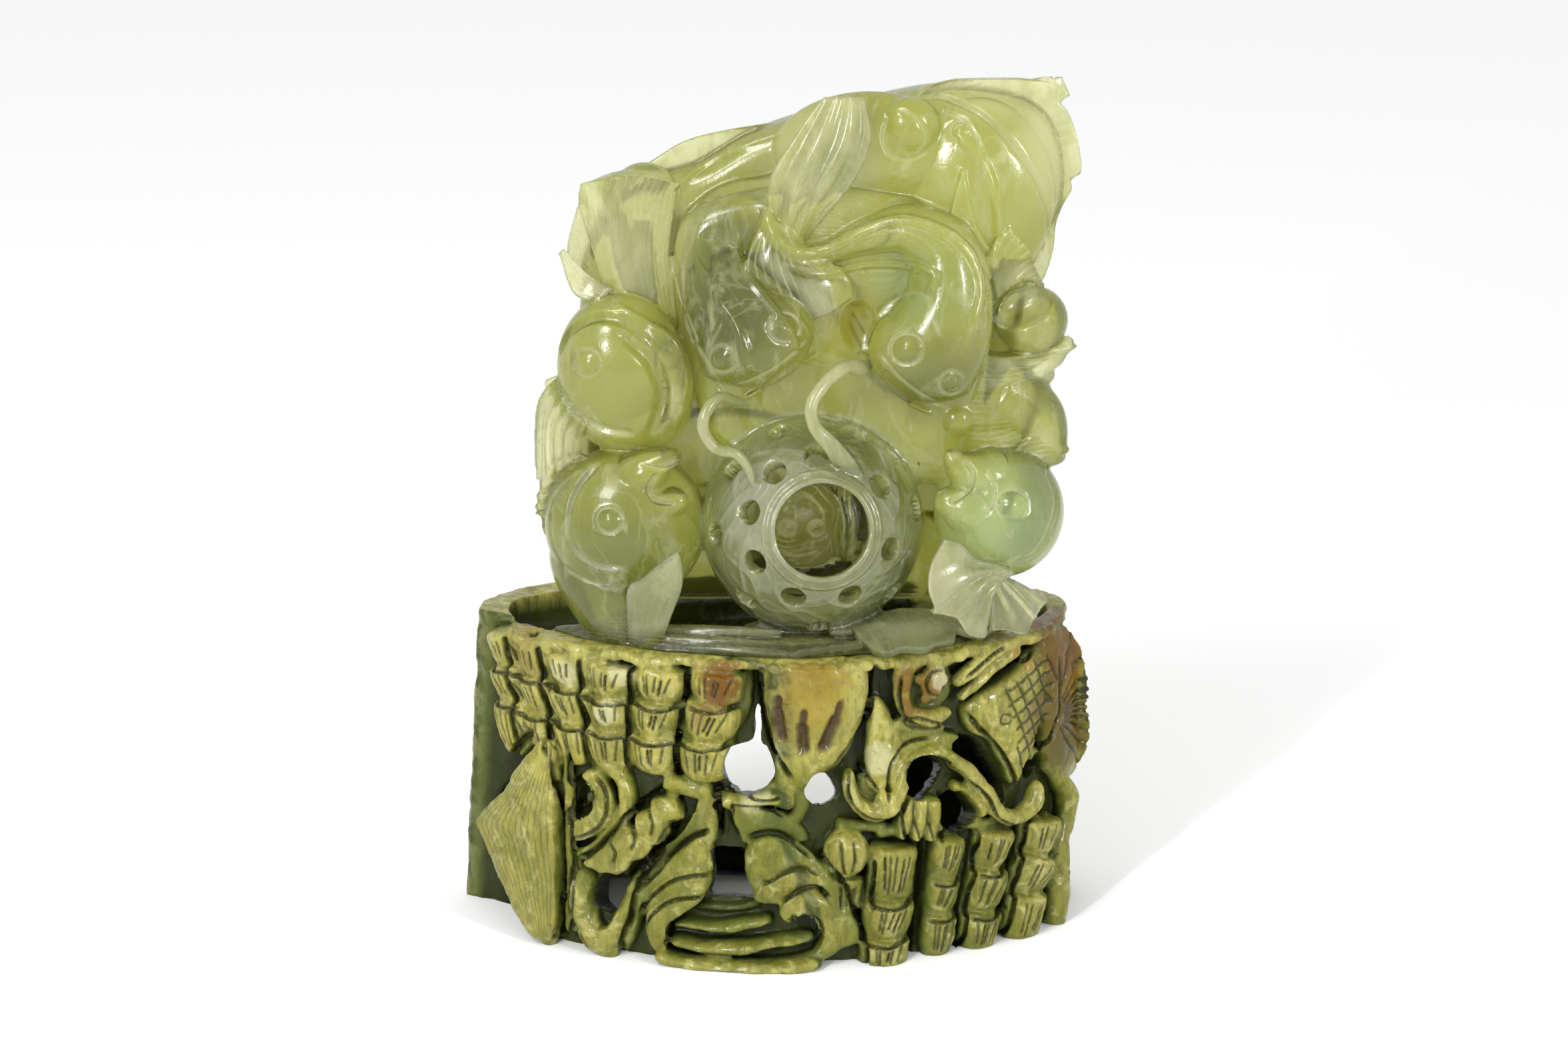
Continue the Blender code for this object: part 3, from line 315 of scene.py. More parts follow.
def cut(mesh, shapes):
    """Cuts the closed forms that functions draw from a closed mesh, and eases the new edges."""
    tools = []
    for shape in shapes:
        form = bmesh.new()
        shape(form)
        bmesh.ops.recalc_face_normals(form, faces=form.faces[:])
        tools.append(as_object("tool", mesh_of(form, "tool")))
    tool = combined(tools[0], tools[1:], "UNION")
    return combined(as_object("stone", mesh), [as_object("tool", tool)], "DIFFERENCE")


def thinned(mesh, triangles):
    """Thins a mesh to about a number of triangles, most where it bends most."""
    mesh.calc_loop_triangles()
    have = len(mesh.loop_triangles)
    if have <= triangles:
        return mesh
    piece = as_object("fine", mesh)
    thin = piece.modifiers.new("thin", "DECIMATE")
    thin.ratio = triangles / have
    return applied(piece)


def largest_island(mesh):
    """Keeps only the biggest joined part of a mesh, so that no crumb is left."""
    form = bmesh.new()
    form.from_mesh(mesh)
    unseen = set(form.verts)
    islands = []
    while unseen:
        front = [unseen.pop()]
        island = list(front)
        while front:
            near = {edge.other_vert(vertex) for vertex in front for edge in vertex.link_edges}
            front = [vertex for vertex in near if vertex in unseen]
            unseen.difference_update(front)
            island += front
        islands.append(island)
    islands.sort(key=len)
    for island in islands[:-1]:
        bmesh.ops.delete(form, geom=island, context="VERTS")
    print("islands dropped:", len(islands) - 1)
    form.to_mesh(mesh)
    form.free()


print("fusing at", VOXEL, "mm and thinning to", PIECE_TRIANGLES, "triangles")

# %% [markdown]
# ## Engraved lines and what the stone knows about itself
# Fine work is cut after the clay is fused. A line is drawn in front of the stone and cast on to its skin, and
# the skin is pushed in along it with a soft round profile, or out for a ridge. Each finished mesh then
# carries a few numbers at every vertex: how thick the stone is behind it, how sheltered it lies, and how deep
# it is in an engraved line. The finishes read them, so painted shade sits in real recesses, with dirt as well
# on the stand, and thin fins turn pale, which a pattern laid over the whole stone could never follow.


# %% Engraving
def skin_tree(mesh):
    """A tree that finds where a ray meets a mesh."""
    return bvhtree.BVHTree.FromPolygons(
        [vertex.co for vertex in mesh.vertices], [face.vertices[:] for face in mesh.polygons]
    )


def vertex_tree(mesh):
    """A tree that finds the vertices near a place."""
    tree = kdtree.KDTree(len(mesh.vertices))
    for index, vertex in enumerate(mesh.vertices):
        tree.insert(vertex.co, index)
    tree.balance()
    return tree


TOOL_STEP = 0.4
DRAWN_FROM = 70


def read_vectors(items, name):
    """One vector of every vertex, as rows of an array."""
    values = np.empty(len(items) * 3)
    items.foreach_get(name, values)
    return values.reshape(-1, 3)


def engrave(mesh, lines, marked=0.0, broad=2.15):
    """Cuts lines into a fine mesh and returns where the tool touched. A line is its places in front of the
    skin, the way that the tool points, its half width and its depth, which is negative for a ridge. A
    ridge is marked as touched only if its half width is less than marked, and a hollow if less than broad."""
    skin = skin_tree(mesh)
    near = vertex_tree(mesh)
    push = np.zeros(len(mesh.vertices))
    touched = []
    for places, way, width, depth in lines:
        places = vectors(places)
        length = sum((b - a).length for a, b in zip(places, places[1:]))
        count = max(2, int(length / TOOL_STEP))
        for index in range(count + 1):
            share = index / count
            place = through(places, share)
            towards = way(place) if callable(way) else way
            hit, normal = skin.ray_cast(place, towards)[:2]
            if hit is None:
                continue
            fade = min(1.0, 8 * share + 0.25, 8 * (1 - share) + 0.25)
            for _, vertex, away in near.find_range(hit, width):
                weight = (1 - (away / width) ** 2) ** 2 * depth * fade
                if abs(weight) > abs(push[vertex]):
                    push[vertex] = weight
            if (depth > 0 and width < broad) or width < marked:
                touched.append((hit - normal * 0.6 * depth, width + 0.3 * abs(depth), fade))
    places = read_vectors(mesh.vertices, "co")
    normals = read_vectors(mesh.vertices, "normal")
    mesh.vertices.foreach_set("co", (places - normals * push[:, None]).ravel())
    mesh.update()
    return touched


def roughen(mesh, layers):
    """Leaves a skin uneven, as hand tools do. Each layer is the size of its bumps and their height."""
    places = read_vectors(mesh.vertices, "co")
    normals = read_vectors(mesh.vertices, "normal")
    push = np.zeros(len(places))
    for size, height in layers:
        push += [height * noise.noise(Vector(place) / size) for place in places]
    mesh.vertices.foreach_set("co", (places + normals * push[:, None]).ravel())
    mesh.update()


def seen(spots, depth):
    """Places well in front of the work for a line that is cut looking slightly down on it, as the work is
    looked at. Spots are the line's (x, z) places at a depth."""
    return [Vector((x, depth, z)) - SIGHT * DRAWN_FROM for x, z in spots]


def drawn(spots, depth, width, deep):
    """A line for the engraving tool, drawn on the work as it is looked at."""
    return seen(spots, depth), SIGHT, width, deep


print("the graving tool moves", TOOL_STEP, "mm at a time")


# %% Numbers that a finished mesh carries
def give(mesh, name, values):
    """Stores one number for each vertex, for the finish to read."""
    mesh.attributes.new(name, "FLOAT", "POINT").data.foreach_set("value", np.asarray(values, np.float32))


def blurred(mesh, values, times):
    """Averages a number at each vertex with its neighbours'."""
    ends = np.empty(len(mesh.edges) * 2, int)
    mesh.edges.foreach_get("vertices", ends)
    first, second = ends.reshape(-1, 2).T
    size = len(values)
    count = np.bincount(first, minlength=size) + np.bincount(second, minlength=size) + 1.0
    for _ in range(times):
        total = np.bincount(first, values[second], size) + np.bincount(second, values[first], size)
        values = (values + total) / count
    return values


THICKEST = 60
SHELTER_REACH = 14
OFF_THE_SKIN = 0.1


def measure(mesh, touched):
    """Gives a mesh its thickness, its shelter and the depth of its engraving. Rays are cast back through
    the stone for the first, and out and round about for the second."""
    skin = skin_tree(mesh)
    places = read_vectors(mesh.vertices, "co")
    normals = read_vectors(mesh.vertices, "normal")
    thick = np.empty(len(places))
    shelter = np.empty(len(places))
    turns = [(math.cos(turn), math.sin(turn)) for turn in (0.3, 1.6, 2.8, 4.1, 5.3)]
    rays = [(1.0, 0.0, 0.0)] + [(0.62, 0.78 * c, 0.78 * s) for c, s in turns]
    for index, (place, normal) in enumerate(zip(places, normals)):
        place, normal = Vector(place), Vector(normal)
        behind = skin.ray_cast(place - normal * OFF_THE_SKIN, -normal, THICKEST)[3]
        thick[index] = THICKEST if behind is None else behind
        side = normal.orthogonal().normalized()
        other = normal.cross(side)
        met = 0.0
        for along, across, up in rays:
            way = normal * along + side * across + other * up
            distance = skin.ray_cast(place + normal * OFF_THE_SKIN, way, SHELTER_REACH)[3]
            met += 0 if distance is None else 1 - distance / SHELTER_REACH
        shelter[index] = met / len(rays)
    cutting = np.zeros(len(places))
    near = vertex_tree(mesh)
    for hit, width, fade in touched:
        for _, vertex, away in near.find_range(hit, width):
            cutting[vertex] = max(cutting[vertex], fade * (1 - away / width))
    give(mesh, "thick", blurred(mesh, thick, 3))
    give(mesh, "shelter", blurred(mesh, shelter, 2))
    give(mesh, "cutting", cutting)
    print("thickness", round(float(np.median(thick)), 1), "mm in the middle of the range;",
          "sheltered share", round(float((shelter > 0.3).mean()), 2))


FIN_REACH = 4.0


def comb(mesh):
    """Gives each vertex its count of fine lines from the edge of the sheet it lies on, and how surely it
    lies there. Strips are looked for straight ahead of the skin, and fins next to it."""
    phase = np.zeros(len(mesh.vertices))
    lined = np.zeros(len(mesh.vertices))
    places = read_vectors(mesh.vertices, "co")
    ahead = read_vectors(mesh.vertices, "normal") @ np.array(SIGHT) < -0.15
    for tree, corners, lines, reach in combed:
        spots = np.array([place for face in corners for place, _ in face])
        inside = ((places > spots.min(0) - 2 - reach) & (places < spots.max(0) + 2 + reach)).all(1)
        for index in np.nonzero(inside & ahead if reach else inside)[0]:
            place = Vector(places[index])
            if reach:
                found, _, face, _ = tree.ray_cast(place - SIGHT * reach, SIGHT, 2 * reach)
                away = 0
            else:
                found, _, face, away = tree.find_nearest(place, FIN_REACH)
            if found is None:
                continue
            weights = [1 / (1e-4 + (corner - found).length_squared) for corner, _ in corners[face]]
            u, v = (sum(w * shares[axis] for w, (_, shares) in zip(weights, corners[face])) / sum(weights)
                    for axis in (0, 1))
            sure = min(1, max(0, 1.6 - away)) * min(1, 6 * v) * (min(1, 6 * (1 - v)) if reach else 1)
            if sure > lined[index]:
                phase[index] = u * lines
                lined[index] = sure
    give(mesh, "phase", phase)
    give(mesh, "lined", lined)
    combed.clear()


def finished(name, mesh, node):
    """Turns a mesh from millimetres to metres, keeps it inside its node's box and stands it for the node."""
    lowest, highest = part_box(node)
    places = read_vectors(mesh.vertices, "co") * MM
    mesh.vertices.foreach_set("co", np.clip(places, lowest, highest).ravel())
    mesh.name = name
    mesh.update()
    mesh.shade_smooth()
    piece = as_object(name, mesh)
    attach(piece, "root")
    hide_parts(node)
    mesh.calc_loop_triangles()
    print(name, len(mesh.loop_triangles), "triangles")
    return piece


print("thickness is measured up to", THICKEST, "mm and shelter up to", SHELTER_REACH, "mm")

# %% [markdown]
# ## The stand
# The stand is a ring of stone with a D-shaped plan: a bowed front, a flatter back and one sawn facet at
# the left. Its front is a thick wall carved like a lotus pond, with hanging strings of cups, a
# pod, leaves, curling waves, a fish and a shell. Each form is laid on the wall by its place across and
# up the front, so one function gives the bowed surface and everything else follows it.

# %% The bowed wall
HALF_WIDTH_FOOT = 92.5
HALF_WIDTH_RIM = 86.5
FRONT_DEPTH_FOOT = 56.0
FRONT_DEPTH_RIM = 45.0
BACK_DEPTH = 31.4
PLAN_CENTRE_Y = 11.0
FRONT_ROUNDNESS = 1.8
BACK_ROUNDNESS = 2.5
GROUND_INSET = 7.2
SAWN_FACE = (Vector((-92.6, 12.9, 0.0)), Vector((-0.477, -0.879, 0.0)))
SAWN_EDGE_X = -70.0
RIM_WIDTH = 8.5
WALL = 15.5
LEDGE_HEIGHT = 80.0
FIT_GAP = 0.3
WALL_END = 0.985


def plan_size(z):
    """The stand's half width and the depth of its front at a height. Both lessen towards the rim."""
    share = z / STAND_HEIGHT
    half_width = HALF_WIDTH_FOOT + (HALF_WIDTH_RIM - HALF_WIDTH_FOOT) * share
    return half_width, FRONT_DEPTH_FOOT + (FRONT_DEPTH_RIM - FRONT_DEPTH_FOOT) * share


def plan(turn, z, inset=0.0, sawn=False):
    """The place on the stand's plan at a turn from +X, drawn in by inset at its height."""
    half_width, front = plan_size(z)
    c, s = math.cos(turn), math.sin(turn)
    power, depth = (FRONT_ROUNDNESS, front) if s < 0 else (BACK_ROUNDNESS, BACK_DEPTH)
    x = (half_width - inset) * math.copysign(abs(c) ** (2 / power), c)
    y = PLAN_CENTRE_Y + (depth - inset) * math.copysign(abs(s) ** (2 / power), s)
    place = Vector((x, y, z))
    if sawn and place.x < SAWN_EDGE_X:
        corner, normal = SAWN_FACE
        beyond = (place - corner).dot(normal) / normal.length_squared
        place -= normal * max(0.0, beyond)
        place.z = z
    return place


def outward(place):
    """The way that the stand's front faces at a place on it."""
    across = place.x / HALF_WIDTH_FOOT**2
    forward = (place.y - PLAN_CENTRE_Y) / FRONT_DEPTH_FOOT**2
    return Vector((across, forward, 0)).normalized()


def wall(x, z, out=0.0):
    """The place on the stand's bowed front at x and z, or out in front of it."""
    half_width, front = plan_size(z)
    across = min(abs(x) / half_width, WALL_END)
    y = PLAN_CENTRE_Y - front * (1 - across**FRONT_ROUNDNESS) ** (1 / FRONT_ROUNDNESS)
    place = Vector((x, y, z))
    return place + outward(place) * out


def on_wall(spots, out=0.0):
    """Places on the wall at (x, z) or (x, z, out) spots."""
    return [wall(spot[0], spot[1], out + (spot[2] if len(spot) > 2 else 0)) for spot in spots]


def plan_block(clay, inset, low, high, ground=0.0, sawn=False, sides=120):
    """A block with the stand's plan, drawn in by inset all round and by ground at the bowed front."""
    form = bmesh.new()
    bmesh.ops.create_cone(form, segments=sides, radius1=1, radius2=1, depth=1, cap_ends=True)
    for vertex in form.verts:
        turn = math.atan2(vertex.co.y, vertex.co.x)
        c, s = math.cos(turn), math.sin(turn)
        front_share = max(0.0, 1 - 2 * max(0.0, s)) if c > 0 else max(0.0, -s) ** 0.5
        vertex.co = plan(turn, high if vertex.co.z > 0 else low, inset + ground * front_share, sawn)
    add_form(clay, form)


# %% Forms laid on the wall
def carve(clay, spots, widths, depths=None, out=-3.0, **more):
    """A form drawn out along the stand's front."""
    draw_out(clay, on_wall(spots, out), widths, depths, facing=outward, **more)


LINE_OUT = 14


def wall_line(spots, width, depth):
    """A line for the engraving tool, laid in front of the wall and pointing in."""
    return on_wall(spots, LINE_OUT), lambda place: -outward(place), width, depth


def circle(x, z, radius, count=16):
    """Spots round a circle, the last on the first."""
    turns = [2 * math.pi * step / count for step in range(count + 1)]
    return [(x + radius * math.cos(turn), z + radius * math.sin(turn)) for turn in turns]


def closed(spots, share):
    """The place at a share of the way round a smooth closed outline."""
    return through(spots[-1:] + spots + spots[:2], (share % 1 * len(spots) + 1) / (len(spots) + 2))


def plate(clay, outline, out=-1.0, thick=8.0, dish=0.6, lean=(0, 0)):
    """A petal or a wave's crest: a flattened ball with a smooth outline of (x, z) spots. Dish sinks its
    middle, and lean is how far it comes forward at its right and at its top."""
    spots = vectors(outline)
    middle = sum(spots, Vector((0, 0))) / len(spots)
    half_width = max(abs(spot.x - middle.x) for spot in spots)
    half_height = max(abs(spot.y - middle.y) for spot in spots)
    form = bmesh.new()
    bmesh.ops.create_uvsphere(form, u_segments=72, v_segments=30, radius=1)
    for vertex in form.verts:
        reach = min(1, math.hypot(vertex.co.x, vertex.co.y))
        spot = middle.lerp(closed(spots, math.atan2(vertex.co.y, vertex.co.x) / math.tau), reach)
        proud = out - dish * (1 - reach * reach)
        proud += lean[0] * (spot.x - middle.x) / half_width + lean[1] * (spot.y - middle.y) / half_height
        if vertex.co.z < -0.01:
            proud -= thick
        else:
            proud -= 1.8 * (1 - math.sqrt(max(0, 1 - (max(0, reach - 0.8) / 0.2) ** 2)))
        vertex.co = wall(spot.x, spot.y, proud)
    add_form(clay, form)


print("the front's middle stands at y", round(wall(0, STAND_HEIGHT / 2).y, 1), "mm halfway up")

# %% [markdown]
# ## The wall and its rim
# The wall is a block with the stand's plan, its ground set back so that the carving stands out from it.
# Everything that follows is laid on it in the same clay, and stays a separate form until it is fused.

# %% The wall and its rough top edge
clay = bmesh.new()
plan_block(clay, 0, -2, 88, GROUND_INSET, sawn=True, sides=180)
plan_block(clay, 0, 87.6, STAND_HEIGHT, 3.0, sawn=True, sides=180)
carve(clay, [(-79.6, 90), (-73, 58)], [7, 5], [9, 8], -10)

# The rough top edge above the cups, broken into knobs
for number in range(44):
    size = 2.9 + 1.1 * math.sin(9 * number)
    spot = wall(-74 + 3.5 * number, 88 + 0.7 * math.sin(5 * number), -1.9 + 0.6 * math.cos(7 * number))
    lump(clay, spot, (size, 2.4, 1.9), sides=14)

tell("the wall and its rim")

# %% [markdown]
# ## Strings of cups, and the pod
# The cups hang in strings, one under the other. Each cup is square at its lip and rounds in towards
# its foot, with a few upright cuts on its front. The cups are drawn out between stops down each string,
# so a string is a short list of places, and the same stops give the cuts their places later.

# %% The strings
STRINGS = (
    (6.0, [(-81.4, 88.4), (-80.6, 78.5), (-79, 68.5), (-77.5, 53)]),
    (5.6, [(-72, 88.2), (-71.4, 78), (-70.2, 67.3), (-69.6, 57.5)]),
    (6.6, [(-61.2, 87.4), (-61, 77.5), (-59.4, 67), (-58.4, 55)]),
    (6.9, [(-47.7, 86.4), (-48.6, 76), (-48.2, 66.6), (-48, 55)]),
    (6.7, [(-32.8, 86.6), (-34, 76.2), (-35.4, 66), (-35.6, 55.5)]),
    (7.2, [(-16.8, 87), (-17.9, 76.8), (-20.4, 65.8), (-21, 55)]),
    (3.9, [(20.6, 26), (20.4, 15.5)]),
    (6.4, [(33.9, 34.5), (33.1, 18.4), (31.5, 7.4), (31, -2)]),
    (4.6, [(50.6, 34.5), (49.4, 22.3), (47.8, 12), (47, -1)]),
    (5.7, [(64.4, 34), (63, 22.8), (60.6, 10.6), (59.6, -1)]),
    (6.6, [(78.8, 34), (77.6, 23.2), (74.6, 12.8), (72.6, -1)]),
)
CUP_SHAPE = (1.02, 1.16, 1.17, 1.14, 1.07, 0.92, 0.55)

for width, string in STRINGS:
    for top, foot in zip(string, string[1:]):
        sizes = [width * share for share in CUP_SHAPE]
        stops = [(*top, 0.9), (foot[0], foot[1] - 1.2, -1.8)]
        carve(clay, stops, sizes, [size * 0.9 for size in sizes], -4.9, blunt=0.06)
    carve(clay, string, [width * 1.15] * 4, [4] * 4, -6.4)
lump(clay, wall(19.9, 33.3, -3.2), (6.6, 6, 7.4))

print("cups:", sum(len(string) - 1 for _, string in STRINGS))


# %% The cuts on the cups
def cup_cuts():
    """Five upright cuts on the front of each cup, closer together towards its foot."""
    for width, stops in STRINGS:
        for number, (top, foot) in enumerate(zip(stops, stops[1:])):
            for place in (-0.66, -0.36, -0.08, 0.2, 0.56):
                x = place + 0.07 * math.sin(7 * number + 3 * width + 9 * place)
                start = top[1] - 2.2 - 0.8 * math.sin(5 * x + number)
                end = foot[1] + 2.4 + 0.8 * math.cos(9 * x + width)
                line = [(top[0] + x * width, start), (foot[0] + 0.75 * x * width, end)]
                yield wall_line(line, 0.65, 0.9 + 0.4 * math.sin(6 * x + number))


print("cuts on the cups:", len(list(cup_cuts())))

# %% The pod
# The lotus pod: a cone with a flat, scalloped top and seeds on it
sizes = [14.6, 14.8, 14.2, 12.6, 9.6, 5.6, 2.4]
stations = [(11.2, 88.3), (11.2, 82), (11.2, 76), (10.4, 69.5), (9, 62.5), (7.4, 57), (6.2, 52)]
carve(clay, stations, sizes, [8.5, 8.6, 8.2, 7, 5.6, 4, 2], -4, sides=40, blunt=0.02)
for across in range(-12, 15, 5):
    lump(clay, wall(11.5 + across, 88.2, 2.2 - abs(across) * 0.12), (2.6, 2, 1.7), sides=14)
for row, places in ((-3.5, (-9, -3, 4, 10)), (-7.5, (-6, 1, 7))):
    for across in places:
        lump(clay, wall(11.5 + across, 88.8, row), (2.4, 2.2, 2), sides=14)

POD_HOLLOWS = (
    [(0.5, 80.5), (0.1, 75), (1.2, 67.5)],
    [(7.4, 77), (6.8, 71), (7.4, 64.5)],
    [(17.4, 79), (15.6, 73), (12.6, 65)],
)
tell("the pod")

# %% [markdown]
# ## The left of the front
# A big flat leaf with a sharp outline, a hooked tongue, and a leaf rolled up like a horn with its mouth
# at the bottom. Flat forms with a clear outline are plates, and long ones are drawn out.

# %% Leaf, hook and roll
near = [(-67.4, 61), (-77.4, 46.4), (-88, 30), (-84.8, 22), (-79.4, 13.5), (-74.6, 6), (-69.6, 1)]
far = [(-62.8, 61), (-63, 49), (-62.6, 35), (-62.4, 26), (-62.6, 17), (-63, 8), (-65, 1)]
fan(clay, on_wall(near, -5.2), on_wall(far, -5.2), thick=14, bulge=1.0, lines=13)
carve(clay, [(-66.5, 8), (-66.5, 3), (-66.4, -1)], [2.6, 3, 1.6], [3, 3.4, 2], out=-2)
carve(clay, [(-61.2, 62), (-60.6, 46), (-60.2, 30), (-60.2, 12), (-61, 4)], [1.5, 1.5, 1.6, 1.8, 1.4],
      out=-2.6)
carve(clay, [(-59.6, 27), (-58.8, 18), (-59, 9), (-60.4, 4)], [1.8, 2.4, 2.2, 1.4], out=-4)
hook = [(-56.4, 51.4), (-53.4, 54.4), (-50, 52.6), (-47.2, 47.6), (-46.8, 42.4), (-49.6, 37.4)]
hook += [(-55, 33.4), (-60.4, 31.8), (-60.6, 36.2), (-56.4, 38.6), (-52.6, 42.2), (-52.6, 46)]
plate(clay, hook, out=-0.4, thick=7, dish=-0.5)
band = [(-51, 56.4), (-45.4, 52.6), (-43.4, 46.5), (-44.6, 41), (-48, 35.4), (-54, 29.6), (-60, 27)]
carve(clay, band, [2.6, 2.6, 2.4, 2.4, 2.4, 2.4, 1.8], [3.6] * 7, out=-3.8)
for x, z, size, turn in ((-31.4, 44.6, 4.2, 0), (-35.6, 39.6, 5, 0), (-41.4, 34.2, 4.9, 1),
                         (-47.4, 29.4, 4.9, 1)):
    carve(clay, [(x - 4.4, z - 1.5 - turn), (x, z), (x + 4, z + 1.5 - 4 * turn)], [size, size, size * 0.8],
          out=-3.6)
lip = [(-30, 41.4), (-33, 37.4), (-36.2, 36.4), (-38.2, 32.6), (-42.2, 30.8), (-44.6, 27), (-48, 25.6)]
carve(clay, lip + [(-52, 27), (-56, 26.4)], [1.3, 1.6, 1.5, 1.7, 1.5, 1.7, 1.6, 1.7, 1.4], out=-0.2)
mouth = [(-55.4, 24.6), (-57, 18), (-56, 10), (-51.8, 3.2), (-47.2, 6), (-44.4, 12.6), (-42, 19),
         (-41.4, 24.6)]
carve(clay, mouth, [2.8, 3.6, 3.9, 4, 3.6, 2.6, 2.2, 1.8], [4, 4.6, 4.8, 4.6, 4.4, 4, 3.6, 3], out=-3)
carve(clay, [(-50.6, 8), (-49.8, 2), (-49, -2)], [5, 4.4, 2.4], [4.4, 4, 2], out=-3)
carve(clay, [(-39.4, 26), (-40.4, 17), (-43, 8), (-46, 1)], [1.6, 2.2, 2.4, 1.6], [3.4, 4, 4, 3], out=-6)

tell("the leaf, the hook and the roll")

# %% The waves beside the roll
# The broad band beside the roll, and three overlapping lobes that lie along the low opening
band = [(-18.4, 50), (-22.4, 48.4), (-24.2, 43), (-29.4, 36.6), (-36.6, 30.6), (-42, 24), (-40.6, 20.4)]
band += [(-35, 24), (-28, 29.6), (-21.6, 36.4), (-18.6, 43)]
plate(clay, band, out=-2.6, thick=8, dish=1.4, lean=(0.6, 0.6))
upper = [(-18.2, 34), (-20.6, 38.4), (-24.6, 36.6), (-31, 30.6), (-37.4, 25.2), (-41, 18.4), (-38.6, 13.4)]
plate(clay, upper + [(-33, 20), (-25, 25.6), (-18.8, 28)], out=-2, thick=9, dish=-0.9, lean=(0.4, 1.2))
middle = [(-18.9, 25), (-20.6, 28.8), (-26, 28.4), (-32.6, 25), (-37.6, 19), (-39, 12.6), (-35, 12),
          (-29, 17)]
plate(clay, middle + [(-22, 20.6)], out=-1, thick=9, dish=-0.7, lean=(0, 1.6))
lower = [(-20.6, 21.4), (-23.4, 22.2), (-29.6, 21), (-35.2, 17.2), (-38.4, 11), (-37, 5.4), (-32.6, 1.8)]
plate(clay, lower + [(-31.8, 6), (-31.6, 11), (-27, 15.2)], out=-0.2, thick=10, dish=-0.5, lean=(0, 1.2))

tell("the waves at the left")

# %% [markdown]
# ## The middle and the right of the front
# Stems frame the openings, lobed waves curl round the low one, and a panel of long ripples lies at the
# foot. To the right are a snail, a folded leaf, a scaled fish over a winding ribbon, and a shell.

# %% Stems, waves and the rippled panel
carve(clay, [(-33, 52.6), (-27, 51.6), (-19, 50.4)], [3.6, 3, 2.4], out=-4)
carve(clay, [(-18, 49), (-10, 48.4), (-2, 49.6), (5, 48)], [2, 2.4, 2.4, 2.6], [3, 3.4, 3.4, 3], out=-3.4)
carve(clay, [(-14, 52), (-4, 51.4), (4, 52.6)], [2, 2.2, 2], out=-6)
carve(clay, [(-8.4, 88), (-8.4, 80), (-10.4, 72), (-14, 68)], [1.6, 1.4, 1.6, 2], out=-6)
carve(clay, [(-17.6, 56), (-19.4, 61), (-16.6, 67)], [2.2, 2.4, 2.2], out=-6)
carve(clay, [(2, 62), (2.8, 56), (3.6, 50)], [2.4, 3, 3], out=-5)
carve(clay, [(4, 57), (7.4, 51), (6.6, 45), (3, 41)], [2.2, 2.4, 2.2, 2], out=-5.4)
carve(clay, [(-16.6, 51), (-15.9, 44), (-16.2, 37)], [1.4, 1.8, 2], out=-8)
for x, lean in ((-18.8, 0), (-11.6, 1.2)):
    carve(clay, [(x, 49), (x + lean, 42), (x + 2 * lean, 36)], [1.2, 1.6, 1.2], [2.4] * 3, out=-4.6)
broad = [(-12.8, 46.6), (-4, 46.4), (1, 45.6), (6.4, 41.4), (9, 36.4), (2, 37.4), (-4.4, 38.4), (-9.4, 37),
         (-11.8, 41)]
plate(clay, broad, out=-2.6, thick=8, dish=0.8, lean=(-1, 1))
first = [(-9.2, 33), (-7.4, 37), (-2.4, 38.6), (4, 37), (10.6, 32.8), (16, 28), (13, 24), (3, 26.4), (-3, 24)]
plate(clay, first + [(-5.8, 20.8), (-8.4, 26)], out=-2.2, thick=9, dish=-0.8, lean=(-1, 1.2))
second = [(-6.2, 19.8), (-4.8, 24.2), (-0.8, 27.6), (6, 29.4), (12, 28), (14, 22), (7, 20), (2.2, 18.6)]
plate(clay, second, out=-1.2, thick=9, dish=-0.6, lean=(-0.6, 1.2))
third = [(0.8, 16.6), (1.4, 20), (5, 22.6), (10.6, 23), (15.6, 19.4), (18, 12), (17, 8), (13.4, 9.6),
         (12, 14)]
plate(clay, third + [(8.4, 16.4), (4.8, 15.4), (3, 13.8)], out=-0.2, thick=9, dish=-0.5, lean=(-0.4, 1))
side = [(12, 30.6), (16.4, 26), (21.6, 16), (24.4, 7), (19, 4.4), (10, 1), (13, 8), (17, 14), (14, 22)]
plate(clay, side, out=-2, thick=10, dish=-0.8, lean=(-0.6, 0))
carve(clay, [(-34.6, 3), (-28, 1), (-12, 0.2), (4, 0.6), (13, 3)], [1.6, 2.4, 2.6, 2.6, 2.4], [5] * 5,
      out=-3.4)
for left, centre, right, width, out in (
    ((-31.6, 6.6), (-14, 5.6), (11, 9), 2.0, -2.6),
    ((-31.2, 11.6), (-16, 11.2), (-1, 14.2), 1.9, -4.4),
    ((-26, 16.4), (-14, 16.2), (-4, 18.4), 1.9, -7.6),
    ((-22, 20), (-14, 19.6), (-6, 20.4), 1.6, -10.6),
):
    carve(clay, [left, centre, right], [width * 0.8, width, width * 0.8], [4.4, 5, 4.4], out - 2)

tell("the middle")

# %% Snail, folded leaf, scaled fish, ribbon and shell
SCALED_FISH = [(54.6, 70.4), (58, 74.4), (64, 76.4), (70, 79), (74.2, 84.4), (78.4, 82), (79.8, 74), (79, 66)]
SCALED_FISH += [(76.8, 57), (73, 50), (70, 45.4), (66.6, 52), (63, 58.8), (59.4, 62.4), (56, 65)]
SHELL_CENTRE = (79.4, 63.5)

